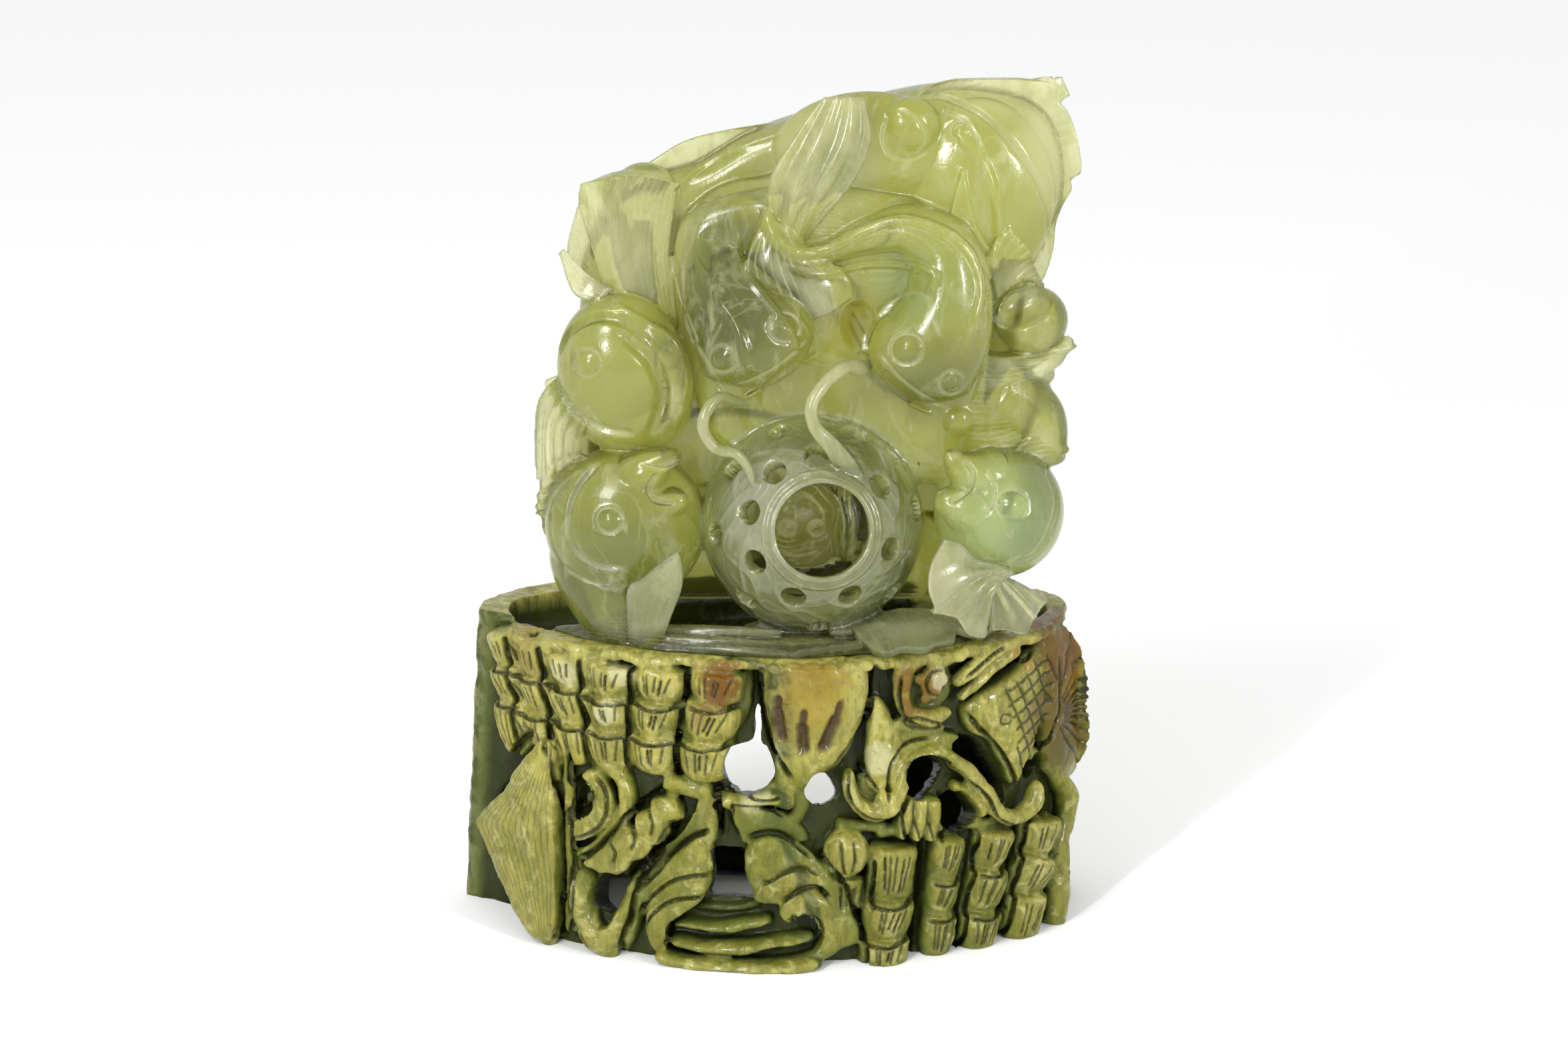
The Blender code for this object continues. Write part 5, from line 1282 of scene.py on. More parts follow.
# The spikes, cup and ribbed panel down the right side
near = [(54, -4, 184), (49, -4, 200), (48.5, -4, 212), (51.5, -3, 224)]
far = [(64, -3, 186), (60, -3, 200), (55, -4, 210), (52, -3, 224)]
fan(clay, near, far, thick=2.2, lines=5)
near = [(55, -5, 184), (57, -5, 197), (64.5, -2, 207.5)]
far = [(64, -4, 178), (71, -3, 188), (75, 0, 190)]
fan(clay, near, far, tip=[(64.5, -2, 207.5), (70, -1, 201), (72, 0, 195), (75, 0, 189)], thick=2.6, lines=9)
lump(clay, (71.5, 1, 179.5), (10.5, 9, 10), sides=40)
edge = [(84, 1, 174), (77, 3, 168), (74, 4, 161), (75, 4, 154), (82, 2, 143)]
near = [(54, -3, 172), (66, -3, 171), (84, 1, 174)]
far = [(54, -2, 139), (66, -2, 139), (82, 2, 143)]
fan(clay, near, far, tip=edge, thick=5, ribs=5, rib=0.4, lines=20, bulge=1.5)
lump(clay, (51, -5, 152), (5, 4, 5), sides=32)
draw_out(clay, [(60, 0, 158), (72, 2, 150), (74, 2, 136)], [12, 10, 8], [8, 7, 6])

# A round head in profile, mouth open to the left, with broad fins hanging below
centre, radii = LOWER_RIGHT
lump(clay, centre, radii, sides=72)
draw_out(clay, [(62, -9, 136), (56, -12, 138), (51, -14, 141.5), (47.5, -15, 146)], [9, 7.5, 4.4, 1.2])
draw_out(clay, [(61, -12, 127), (54, -15, 129), (48, -16, 131), (44, -16, 131.5)], [9, 8, 5, 2.4])
draw_out(clay, [(56, 6, 120), (52, 10, 104), (50, 16, 88)], [16, 13, 12], [10, 9, 9])
near = [(62, -5, 140), (72, -4, 146), (83, 0, 142.5)]
far = [(68, -6, 137), (76, -4, 139), (82, 0, 141)]
fan(clay, near, far, thick=2.4, lines=5)
near = [(66, -20, 113), (55, -23, 117), (51, -25, 122), (46.5, -27, 124)]
far = [(66, -20, 111), (61, -25, 107), (59.5, -27, 101), (58.5, -28, 95)]
tip = [(46.5, -27, 124), (43, -29, 117), (42, -30, 110), (43.5, -30, 105), (43, -30, 103.5),
       (49.5, -29, 101.5)]
tip += [(51, -29, 100), (54, -29, 96), (58.5, -28, 95)]
fan(clay, near, far, tip=tip, thick=2, ribs=3, rib=0.5, lines=9, bulge=1.5, across=60)
near = [(62, -18, 111), (69, -16, 107), (76.5, -12, 101)]
far = [(60, -19, 108), (60, -21, 102), (60, -22, 95)]
tip = [(76.5, -12, 101), (73.5, -14, 97), (72, -15, 96), (70, -17, 92.5), (65, -19, 94), (60, -22, 95)]
fan(clay, near, far, tip=tip, thick=2, ribs=3, rib=0.5, lines=9, bulge=1)

tell("the right side")

# %% The base and the back
# The crescent of waves and leaves that the carving stands on, with a leaf risen at the left
arc = [(-67, -2, 84), (-52, -11, 87), (-27, -20, 88), (0, -23.5, 88), (27, -21, 88), (52, -12, 87)]
arc += [(67, -1, 84)]
draw_out(clay, arc, [4, 7, 8, 8, 8, 7, 4], [5, 5, 5, 5.4, 5, 5, 5], facing=UP, steps=70)
for wave, width in (
    ([(-64, -7, 90), (-44, -15, 92), (-20, -21, 94), (2, -24, 95)], 2.2),
    ([(-56, -13, 90), (-36, -21, 92), (-12, -27, 92.6), (10, -28, 91)], 1.8),
    ([(-30, -25, 91), (-14, -29, 91.6), (2, -31, 91), (14, -30, 90)], 1.4),
    ([(66, -6, 90), (48, -14, 92), (30, -20, 94), (14, -24, 95)], 2.2),
    ([(40, -21, 91), (26, -27, 92.4), (12, -30, 91.6), (-2, -31, 90)], 1.6),
):
    draw_out(clay, wave, [width * 0.6, width, width, width * 0.5], steps=60)
draw_out(clay, [(10, -10, 92), (10, -16, 86)], [20, 24], [8, 6])
near = [(-42, -22, 92), (-42, -25, 108), (-38, -27, 112), (-33, -29, 117), (-28, -30, 121.5)]
far = [(-33, -22, 90), (-29.5, -26, 101), (-26.5, -28, 110), (-26.5, -29, 117), (-27, -30, 121)]
fan(clay, near, far, thick=2.2, bulge=1.5, lines=6)
near = [(20, -18, 96), (22, -26, 95), (27, -32.5, 92)]
far = [(44, -12, 97), (50, -19, 95.5), (50, -25, 92)]
tip = [(27, -32.5, 92), (31, -34.6, 91.2), (35, -32.4, 91.6), (41, -32, 91.2), (45, -28, 92), (50, -25, 92)]
fan(clay, near, far, tip=tip, bulge=1.2, lines=7, thick=2.6)
near = [(42, -16, 95), (50, -20, 94), (58, -21, 92)]
far = [(46, -8, 96), (56, -11, 95), (66, -12, 92.6)]
fan(clay, near, far, bulge=1.2, lines=6, thick=2.6)

# The back, plainer: two fish in low relief, their tails, and waves
for nose, z, way in ((-34, 130, 1), (36, 190, -1)):
    body = [(nose, 20, z - 2), (nose + 12 * way, 24, z + 6), (nose + 28 * way, 24, z + 8)]
    draw_out(clay, body + [(nose + 46 * way, 20, z + 4)], [7, 12, 11, 5], [5, 6, 6, 4], -FRONT)
    root = nose + 44 * way
    near = [(root, 20, z + 6), (root + 10 * way, 22, z + 14), (root + 20 * way, 22, z + 18)]
    far = [(root, 20, z + 2), (root + 10 * way, 22, z - 4), (root + 22 * way, 22, z - 8)]
    fan(clay, near, far, ribs=4, rib=0.5, lines=12)
for x, z, lean in ((-28, 104, 8), (-4, 102, 4), (22, 104, -6), (-30, 166, 10), (30, 160, -8)):
    wave = [(x - lean, 22, z - 8), (x, 26, z), (x + lean, 25, z + 12), (x + 2 * lean, 22, z + 24)]
    draw_out(clay, wave, [1.5, 3, 3, 1.5], steps=60)

tell("the base and the back")

# %% [markdown]
# ## Lines on the carving
# Eyes, gill covers, lips and raised edge bands are drawn on the work from the front and cut into the
# fused skin. The threads on the ball are cut towards its middle, so they need directions, not places.


# %% Eyes, and the threads on the ball
def ball_way(tilt, turn):
    """A direction from the middle of the ball: its tilt from the window's axis and its turn, in degrees."""
    up = UP.cross(WINDOW_AXIS).cross(WINDOW_AXIS).normalized() * -1
    side = WINDOW_AXIS.cross(up).normalized() * -1
    lean = math.radians(tilt)
    angle = math.radians(turn)
    away = side * math.cos(angle) + up * math.sin(angle)
    return WINDOW_AXIS * math.cos(lean) + away * math.sin(lean)


def eye_lines(x, depth, z, radius):
    """A fish's eye: a low dome inside two fine rings."""
    return [
        drawn([(x - 0.3, z), (x + 0.3, z)], depth, radius * 0.95, -radius * 0.25),
        drawn(circle(x, z, radius), depth, 0.8, 0.55),
        drawn(circle(x, z, radius * 0.5), depth, 0.6, 0.4),
    ]


BALL_LINE_OUT = 6


def ball_lines():
    """Threads round the ball's window and between its holes, cut towards its middle."""

    def inward(place):
        return (BALL_CENTRE - place).normalized()

    rows = []
    for middle, swing, waves in ((54, 5, 8), (81, 5, 8)):
        turns = range(0, 361, 6)
        rows.append([(middle + swing * math.sin(math.radians(waves * turn + 40 * middle)),
                      turn) for turn in turns])
    for number in range(8):
        turn = 45 * number + 22
        rows.append([(tilt, turn + 0.9 * tilt + 9 * math.sin(tilt / 8)) for tilt in range(36, 91, 4)])
    for row in rows:
        places = [BALL_CENTRE + ball_way(tilt, turn) * (BALL_RADIUS + BALL_LINE_OUT) for tilt, turn in row]
        yield places, inward, 1.3, -0.3


print("threads on the ball:", len(list(ball_lines())))


# %% Gills, lips, bands and ridges
def carving_lines():
    """Every line that is cut into the carving or raised on it."""
    lines = list(ball_lines())
    for eye in ((-47, -23, 128, 3.6), (-53, -13, 171, 4), (2, -23, 184, 4.2), (-15, -20, 174, 3.8),
                (36, -22, 177.5, 4.4), (48.5, -21, 167.5, 3.4), (51, -4, 235.5, 2.8), (66, -21, 132, 4.2),
                (2.9, 1, 118, 2.3), (11.4, 1, 118, 2.3)):
        lines += eye_lines(*eye)
    # The top right fish: the edge of its head, its lips and its nose
    lines += [
        drawn([(37.5, 242.7), (45, 243.8), (52, 241), (59, 236), (66, 228.5), (73, 218), (76, 209),
               (76, 197)], 3, 1.5, 1.3),
        drawn([(31, 239), (29.5, 233), (31.5, 228), (37, 226.5), (42, 229)], -2, 0.9, 0.7),
        drawn([(34, 241), (39, 238), (41, 233), (39, 229)], -3, 0.8, 0.5),
        drawn([(45, 241), (52, 238), (56, 232), (57, 225)], -3, 0.8, 0.4),
    ]
    # Gill arcs of the three side fish
    lines += [
        drawn([(-50.6, 143), (-56, 136.5), (-58.7, 127.4), (-57, 118.6), (-50.6, 113.4), (-43, 112.6)], -19,
              1.7, 1.2),
        drawn([(-56, 139), (-62.6, 131), (-64, 121), (-60.5, 112), (-52.7, 107), (-43, 105.4)], -14, 0.9,
              0.7),
        drawn([(-34, 139), (-36, 135), (-34, 131.5), (-29, 130.6)], -16, 1.1, 1.2),
        drawn([(-38, 142), (-31, 141), (-27, 143)], -16, 0.7, 0.5),
        drawn([(-62, 172), (-58, 180), (-50, 184), (-42, 182), (-36, 176)], -12, 2.4, 1.5),
        drawn([(-43, 180), (-35, 172), (-32, 162), (-35, 151)], -16, 3.0, 1.8),
        drawn([(-60, 162), (-56, 156), (-49, 151.5), (-41, 150)], -12, 1.8, 1.2),
        drawn([(76.4, 140), (79, 132), (77.3, 123.3), (72.7, 115.5), (66, 113)], -16, 1.6, 1.0),
        drawn([(50, 236), (58, 226), (62, 210), (60, 196)], -8, 2.2, -1.0),
        drawn([(53, 143), (55, 139.5), (54, 135), (49, 131)], -16, 1.1, 1.1),
        drawn([(59, 142), (61, 137), (60, 131), (56, 126)], -20, 0.7, 0.4),
    ]
    # The divers: raised edge bands, ridges and lips
    crest = [(-3, 217.6), (-2, 210.4), (3.6, 204), (11, 203.5), (18, 206.2), (25, 210), (35, 212.5),
             (45, 209.5)]
    crest += [(52, 204.5), (55.5, 198), (56.5, 191), (54.5, 183), (52, 174)]
    low = [(3, 199.5), (7.6, 197), (14.4, 197), (21, 199), (29, 200), (37.5, 199), (43.6, 196), (42, 191)]
    lines += [
        drawn([(-45, 187), (-37, 182), (-29.5, 177), (-26, 169.5), (-26.5, 159), (-30, 149)], -10, 1.8, -0.9),
        drawn(crest, -14, 2.6, -1.1),
        drawn(low, -13, 1.8, -0.9),
        drawn([(-22, 211), (-20, 201.5), (-16, 193), (-11.4, 186), (-9, 179), (-7, 172)], -25, 2.4, -1.2),
        drawn([(-12, 213), (-11, 205), (-7, 197), (-2, 190), (3, 183), (6, 176)], -20, 2.2, -1.0),
        drawn([(-26, 199), (-26, 189), (-24, 179), (-19, 170), (-15, 162)], -12, 1.2, 0.9),
        drawn([(-9, 162.5), (-3, 166), (5, 171.5), (12, 176)], -18, 1.1, -0.9),
        drawn([(-13, 167), (-6, 169), (2, 174), (8, 180)], -22, 0.8, 0.6),
        drawn([(24, 175), (29, 168.5), (36, 162), (44, 158)], -18, 1.1, -0.9),
        drawn([(29, 176), (34, 169.5), (41, 164), (48, 161)], -22, 0.8, 0.6),
        drawn([(-28, 212), (-29.6, 202), (-28, 191.4), (-24, 180), (-22, 175)], -6, 1.1, 0.9),
        drawn([(28, 186), (32, 190), (38, 192), (43, 190)], -16, 0.8, 0.5),
        drawn([(56, 200), (60, 192), (61, 182), (58, 170), (54, 158)], -8, 1.2, 1.0),
    ]
    # The small fish's mouth, and the weed beside it
    lines += [
        drawn([(1, 111), (6, 109.4), (12, 111)], 1, 0.9, 0.7),
        drawn([(18, 126), (19.5, 119), (18.6, 112)], 1, 0.8, 0.6),
        drawn([(21, 127), (22.4, 119), (21.6, 110)], 1, 0.8, 0.6),
    ]
    # The top edge of the shoulder
    lines.append(drawn([(-29.6, 216), (-24, 221), (-15, 227), (-7, 230), (2.5, 233)], 4, 1.2, -0.8))
    return lines


print("lines on the carving:", len(carving_lines()))


# %% Fine lines along the bands and the base
def carving_strips():
    """Fine lines that run along the divers' bands and backs and along the base."""

    def along(near, far, near_depth, far_depth, lines):
        strip([(x, near_depth, z) for x, z in near], [(x, far_depth, z) for x, z in far], lines)

    along([(-3, 219), (-2, 212), (4, 206.5), (11, 206), (18, 208.7), (25, 212.4), (35, 215), (46, 212),
           (54.5, 206), (58, 198), (59, 191), (57, 183), (54, 174)],
          [(-3, 214), (0, 207.5), (4, 201.5), (12, 201), (19, 203.6), (26, 207.4), (35, 210), (43, 207),
           (49, 202), (53, 196), (54, 190), (52, 183), (50, 175)], -14, -15, 5)
    along([(3, 201.5), (8, 199), (14.4, 199), (21, 201), (29, 202), (38, 201), (44, 198)],
          [(3, 197), (8, 194.6), (14.4, 194.6), (21, 196.6), (29, 197.5), (37, 196.5),
           (42, 193)], -13, -13, 4)
    along([(57, 206), (61, 196), (62, 184), (59, 170), (55, 156)],
          [(54, 200), (56, 192), (56, 182), (54, 170), (50, 158)], -6, -12, 4)
    strip([(-64, -12, 91), (-44, -24, 92), (-20, -31, 92), (4, -34, 91), (14, -34, 91)],
          [(-60, -4, 95), (-44, -12, 96), (-22, -16, 97), (-2, -18, 97), (12, -18, 97)], 7, 12)


carving_strips()
print("sheets and strips with fine lines:", len(combed))

# %% [markdown]
# ## Making the carving
# The foot is cut to sit on the stand's ledge with a hair's gap all round. The ball's hollow, its window
# and its small holes are cut last, and the small fish is then joined in, since it waits inside the ball.


# %% The cuts, and the small fish
def plan_ring(form, inner, outer, low, high):
    """A ring cutter with the stand's plan, between two insets."""
    loops = []
    for inset, z in ((inner, low), (outer, low), (outer, high), (inner, high)):
        loop = set(bmesh.ops.create_circle(form, segments=120, radius=1)["verts"])
        for vertex in loop:
            vertex.co = plan(math.atan2(vertex.co.y, vertex.co.x), z, inset)
        loops.append([edge for edge in form.edges if loop.issuperset(edge.verts)])
    for first, second in zip(loops, loops[1:] + loops[:1]):
        bmesh.ops.bridge_loops(form, edges=first + second)


def ball_fish(clay):
    """The small fish inside the ball, grown from its back wall."""
    lump(clay, (10, 22, 122), (24, 7, 24), sides=60)
    draw_out(clay, [(12, 22, 106), (9, 15, 112), (6, 10, 119), (4, 12, 128)], [9, 13, 13.5, 9], [8, 9, 9, 6])
    draw_out(clay, [(21, 14, 106), (21, 9, 116), (20, 12, 130)], [5, 7, 4], [4, 6, 4], flutes=9)


def small_holes(form):
    """Two rings of small holes round the ball's window, a little wider on the outside."""
    for tilt, turns in (INNER_RING, OUTER_RING):
        for turn in turns:
            way = ball_way(tilt, turn)
            start = BALL_CENTRE + way * (BALL_RADIUS - BALL_WALL - 6)
            rod(form, start, BALL_CENTRE + way * (BALL_RADIUS + 2), SMALL_HOLE_RADIUS, SMALL_HOLE_RADIUS,
                32, 1.25)


def carving_cuts():
    """What is cut from the carving, each as a function that draws its tool."""
    outside = BALL_CENTRE + WINDOW_AXIS * (BALL_RADIUS + 8)
    return [
        lambda form: lump(form, BALL_CENTRE, [BALL_RADIUS - BALL_WALL] * 3, sides=90),
        lambda form: rod(form, BALL_CENTRE, outside, WINDOW_RADIUS, WINDOW_RADIUS, 90),
        small_holes,
        lambda form: lump(form, (23, -10, 180), (6.5, 5.5, 9)),
        lambda form: lump(form, (69.5, -7, 186), (10, 9, 6.2), turned=Matrix.Rotation(-0.5, 4, "Y")),
        lambda form: layer(form, 50, LEDGE_HEIGHT + FIT_GAP),
        lambda form: plan_ring(form, RIM_WIDTH + FIT_GAP, -20, 60, STAND_HEIGHT + FIT_GAP),
    ]


print("things cut from the carving:", len(carving_cuts()))

# %% The carving itself
carving_mesh = fused(clay)
carving_mesh = cut(carving_mesh, carving_cuts())
inner = bmesh.new()
ball_fish(inner)
inner_piece = as_object("ball fish", fused(inner))
carving_mesh = combined(as_object("stone", carving_mesh), [inner_piece], "UNION")
largest_island(carving_mesh)
touched = engrave(carving_mesh, carving_lines(), marked=0.9)
print("carving before thinning:", len(carving_mesh.polygons), "faces")
carving_mesh = thinned(carving_mesh, PIECE_TRIANGLES)
measure(carving_mesh, touched)
comb(carving_mesh)
carving = finished("fish_carving", carving_mesh, "fish_carving")

# %% [markdown]
# ## Finishes
# Both stones are serpentine, and both get their colour from the numbers that their meshes carry. Shader
# maths reads best as arithmetic, so a small class wraps a node's output and turns + and * into Math
# nodes. Everything else goes through one method that takes a node's type, settings and inputs.


# %% Shader maths
class Socket:
    """A node's output, so that shader maths can be written as an expression."""

    def __init__(self, finish, output):
        self.finish = finish
        self.output = output

    def maths(self, operation, *values):
        return self.finish.node("ShaderNodeMath", {"operation": operation}, dict(enumerate(values)))

    def __add__(self, other):
        return self.maths("ADD", self, other)

    def __radd__(self, other):
        return self.maths("ADD", other, self)

    def __sub__(self, other):
        return self.maths("SUBTRACT", self, other)

    def __rsub__(self, other):
        return self.maths("SUBTRACT", other, self)

    def __mul__(self, other):
        return self.maths("MULTIPLY", self, other)

    def __rmul__(self, other):
        return self.maths("MULTIPLY", other, self)

    def __truediv__(self, other):
        return self.maths("DIVIDE", self, other)

    def __rtruediv__(self, other):
        return self.maths("DIVIDE", other, self)

    def sine(self):
        return self.maths("SINE", self)

    def within(self, low, high):
        """0 below low, 1 above high and smooth between, or the other way round where low is the greater."""
        ends = {"Value": self, "From Min": low, "From Max": high}
        return self.finish.node("ShaderNodeMapRange", {"interpolation_type": "SMOOTHSTEP"}, ends)


def paint(*chart):
    """A colour as read off a chart from 0 to 255, in the linear values that shaders use."""
    shares = [value / 255 for value in chart]
    linear = [share / 12.92 if share <= 0.04045 else ((share + 0.055) / 1.055) ** 2.4 for share in shares]
    return (*linear, 1)


print("the middle grey of the chart is", round(paint(128, 128, 128)[0], 3), "in linear values")


# %% A finish, and the nodes that it is made of
class Finish:
    """A material, with one method that adds any node to it."""

    def __init__(self, name, **constants):
        self.material = bpy.data.materials.new(name)
        self.material.use_nodes = True
        self.shader = self.material.node_tree.nodes["Principled BSDF"]
        for label, value in constants.items():
            self.shader.inputs[label.replace("_", " ")].default_value = value
        self.place = self.node("ShaderNodeTexCoord", output="Object")

    def node(self, kind, settings=None, inputs=None, output=0):
        node = self.material.node_tree.nodes.new(kind)
        for label, value in (settings or {}).items():
            setattr(node, label, value)
        for label, value in (inputs or {}).items():
            self.join(value, node.inputs[label])
        return Socket(self, node.outputs[output])

    def join(self, value, socket):
        """Links an output to a socket, or sets it to a plain value."""
        if isinstance(value, Socket):
            self.material.node_tree.links.new(value.output, socket)
        else:
            socket.default_value = value

    def feed(self, label, value):
        """Joins a value to one of the shader's own sockets."""
        self.join(value, self.shader.inputs[label])

    def number(self, name):
        """A number that the mesh carries at its vertices."""
        return self.node("ShaderNodeAttribute", {"attribute_name": name}, output="Fac")

    def noise(self, size, detail=3.0, stretch=(1, 1, 1), shift=0.0, warp=0.0):
        """Cloudy noise with features of about a size in millimetres, drawn out along an axis by stretch."""
        scale = [1 / (size * MM * share) for share in stretch]
        settings = {"Scale": scale, "Location": (shift, 2 * shift, 3 * shift)}
        place = self.node("ShaderNodeMapping", None, {"Vector": self.place, **settings})
        inputs = {"Vector": place, "Scale": 1.0, "Detail": detail, "Roughness": 0.55, "Distortion": warp}
        return self.node("ShaderNodeTexNoise", None, inputs)

    def near(self, centre, reach, core=0.3):
        """1 round a place in millimetres, fading to 0 at its reach."""
        inputs = {0: self.place, 1: Vector(centre) * MM}
        away = self.node("ShaderNodeVectorMath", {"operation": "DISTANCE"}, inputs, output="Value")
        return away.within(reach * MM, reach * core * MM)

    def height(self):
        """How high a place lies."""
        return self.node("ShaderNodeSeparateXYZ", None, {"Vector": self.place}, output="Z")

    def along(self, way):
        """How far a place lies along a way."""
        inputs = {0: self.place, 1: way}
        return self.node("ShaderNodeVectorMath", {"operation": "DOT_PRODUCT"}, inputs, output="Value")

    def blend(self, share, first, second):
        """A colour mixed from two, each a chart colour or another mix."""
        first, second = (tint if isinstance(tint, Socket) else paint(*tint) for tint in (first, second))
        settings = {"data_type": "RGBA", "blend_type": "MIX", "clamp_factor": True}
        return self.node("ShaderNodeMix", settings, {0: share, 6: first, 7: second}, output=2)

    def lay(self, share, tint):
        """Lays a tint over the colour so far, as thickly as share says."""
        self.colour = self.blend(share, self.colour, tint)

    def bump(self, height, millimetres, under=None):
        inputs = {"Height": height, "Distance": millimetres * MM, "Strength": 1.0}
        if under:
            inputs["Normal"] = under
        return self.node("ShaderNodeBump", None, inputs)


def count_nodes(finish):
    print(finish.material.name, "has", len(finish.material.node_tree.nodes), "nodes")


def dress(piece, finish):
    """Gives a piece its finish and nothing else."""
    piece.data.materials.clear()
    piece.data.materials.append(finish.material)
    count_nodes(finish)


paper = Finish("paper", Base_Color=(0.86, 0.86, 0.86, 1), Roughness=0.9)
count_nodes(paper)

# %% [markdown]
# ## The carving's stone
# Pale serpentine lets light a few millimetres in. Thin fins are whitish, since they hold no colour, and
# thick heads are a deep yellow green with bluer clouds. Light that wanders under the skin is subsurface
# scattering, and a share of glassy transmission shows what lies behind. The polish is a clear coat, whose
# highlights stay sharp over the soft engraving below.

# %% Pale serpentine
pale = Finish(
    "pale_serpentine",
    Subsurface_Weight=0.8,
    Subsurface_Radius=(1.0, 1.1, 0.6),
    Subsurface_Scale=10 * MM,
    Transmission_Weight=0.74,
    IOR=1.45,
    Coat_IOR=1.5,
    Coat_Roughness=0.04,
)
thick = pale.number("thick")
shelter = pale.number("shelter")
cutting = pale.number("cutting")
lined = pale.number("lined")
waver = pale.noise(40, 1, shift=13)
threads = ((pale.number("phase") + 1.5 * waver) * math.tau).sine()
line = threads.within(0.2, 1.0) * lined * pale.noise(18, 1, shift=17).within(0.3, 0.6)
count_nodes(pale)

# %% Its colour: clouds, heads and fins
clouds = pale.noise(26, 4, warp=0.8)
wisps = pale.noise(9, 5, (1, 1, 2.2), shift=3, warp=1.5)
depth = (thick + 8 * (clouds - 0.5)).within(1.5, 22)
pale.colour = pale.blend(depth, (220, 222, 172), (160, 163, 70))
pale.lay((clouds + wisps - 0.5).within(0.38, 0.7) * 0.5, (132, 138, 52))
for centre, reach, tint, strength in (
    ((-12, -14, 184), 30, (52, 58, 12), 0.9),
    ((-16, -4, 203), 18, (80, 88, 30), 0.75),
    ((-43, -12, 116), 30, (80, 90, 32), 0.85),
    ((64, -12, 124), 26, (172, 196, 144), 0.85),
    ((-46, -8, 166), 24, (160, 166, 84), 0.75),
    ((52, 4, 214), 38, (180, 184, 92), 0.75),
    ((-40, 4, 205), 26, (206, 206, 144), 0.75),
    ((10, -5, 227), 24, (218, 219, 170), 0.7),
    ((80, 10, 228), 24, (220, 221, 168), 0.85),
    ((60, 8, 246), 15, (214, 215, 158), 0.7),
    ((-56, 2, 150), 14, (214, 214, 160), 0.6),
    ((42, -10, 192), 22, (132, 150, 84), 0.75),
    ((43, -14, 168), 22, (76, 82, 22), 0.9),
    ((12, 6, 150), 28, (126, 130, 56), 0.6),
    ((21, -4, 181), 12, (150, 142, 40), 0.85),
):
    pale.lay(pale.near(centre, reach) * (0.35 + 0.65 * depth) * strength, tint)
count_nodes(pale)

# %% The ball's colour, painted shade in its hollow, and a darker foot
round_ball = pale.near(BALL_CENTRE, BALL_RADIUS + 2.5, 0.96)
pale.lay(round_ball * (0.4 + 0.6 * clouds), (138, 146, 84))
pale.lay(pale.near((-4, -30, 136), 22) * round_ball * (clouds + wisps - 0.4), (212, 216, 186))
pale.lay(pale.near((34, -18, 104), 20) * round_ball * 0.6, (90, 104, 58))
along = pale.along(WINDOW_AXIS)
swirls = (along / (0.35 * MM) + 55 * pale.noise(22, 1, shift=31)).sine().within(0.3, 1.0)
swirls = swirls * round_ball * pale.noise(13, 1, shift=33).within(0.4, 0.6)
rim = BALL_CENTRE + WINDOW_AXIS * math.sqrt(BALL_RADIUS**2 - WINDOW_RADIUS**2)
rim_band = pale.near(rim, WINDOW_RADIUS + 2.6, 0.94)
height = pale.height()
pale.lay(height.within(99 * MM, 91 * MM) * (0.45 + 0.6 * wisps), (76, 82, 24))
hollow = pale.near(BALL_CENTRE, BALL_RADIUS - BALL_WALL + 0.8, 0.95)
pale.lay(rim_band * 0.35, (200, 200, 148))
# The ball's hollow is painted dark: painted shade inside the ball.
pale.lay(hollow * 0.92, (92, 90, 34))
count_nodes(pale)

# %% Veils, lines, painted shade, dark specks and polish
pale.lay(wisps.within(0.56, 0.74) * 0.4, (216, 218, 176))
veil = pale.noise(20, 4, (1, 1, 1.8), shift=21, warp=1.2) - 0.5
pale.lay((veil * veil).within(0.0006, 0.0) * 0.12, (226, 228, 196))
pale.lay(line * 0.2 + cutting * 0.4 + swirls * 0.34, (228, 229, 190))
# Sheltered creases are painted darker: painted shade.
pale.lay(shelter.within(0.3, 0.75) * 0.6, (84, 86, 30))
specks = pale.noise(1.6, 1, shift=7).within(0.77, 0.8) * pale.noise(14, 2, shift=5).within(0.6, 0.7)
pale.lay(specks * 0.8, (60, 54, 30))
pale.feed("Base Color", pale.colour)
pale.feed("Roughness", 0.2 + 0.25 * cutting + 0.15 * line + 0.12 * wisps.within(0.5, 0.8))
grain = pale.noise(0.9, 2, shift=11)
fine = pale.bump(grain, 0.05)
pale.feed("Normal", pale.bump(line + swirls, 0.06, fine))
pale.feed("Coat Weight", 0.2 + 0.6 * round_ball)
dress(carving, pale)

# %% [markdown]
# ## The stand's stone
# Olive serpentine is waxed, and it keeps dark dirt and old wax in its recesses, which are also painted dark
# as painted shade, so its colour follows the shelter and the depth at each vertex; its proud parts are
# painted lighter as painted light. A brown skin is left at the right edge and on the pod, and white mineral
# shows in patches.

# %% Olive serpentine
olive = Finish(
    "olive_serpentine",
    Subsurface_Weight=0.2,
    Subsurface_Radius=(1.0, 1.0, 0.4),
    Subsurface_Scale=2.5 * MM,
    IOR=1.54,
    Specular_IOR_Level=0.12,
    Coat_IOR=1.45,
    Coat_Roughness=0.12,
)
thick = olive.number("thick")
shelter = olive.number("shelter")
cutting = olive.number("cutting")
sunk = olive.number("sunk")
line = (olive.number("phase") * math.tau).sine().within(0.3, 0.95) * olive.number("lined")
clouds = olive.noise(16, 5, warp=1.0)
grain = olive.noise(2.4, 4, (1, 1, 3.0), shift=2, warp=0.6)
mottle = olive.noise(5, 4, shift=9, warp=0.8)
height = olive.height()
olive.colour = olive.blend(clouds.within(0.35, 0.65), (112, 112, 38), (146, 140, 62))
olive.lay(height.within(55 * MM, 85 * MM) * 0.4, (164, 158, 90))
olive.lay(height.within(50 * MM, 20 * MM) * 0.5, (88, 92, 32))
olive.lay(grain.within(0.4, 0.65) * 0.6, (74, 78, 24))
olive.lay(mottle.within(0.52, 0.7) * 0.5, (176, 171, 106))
count_nodes(olive)
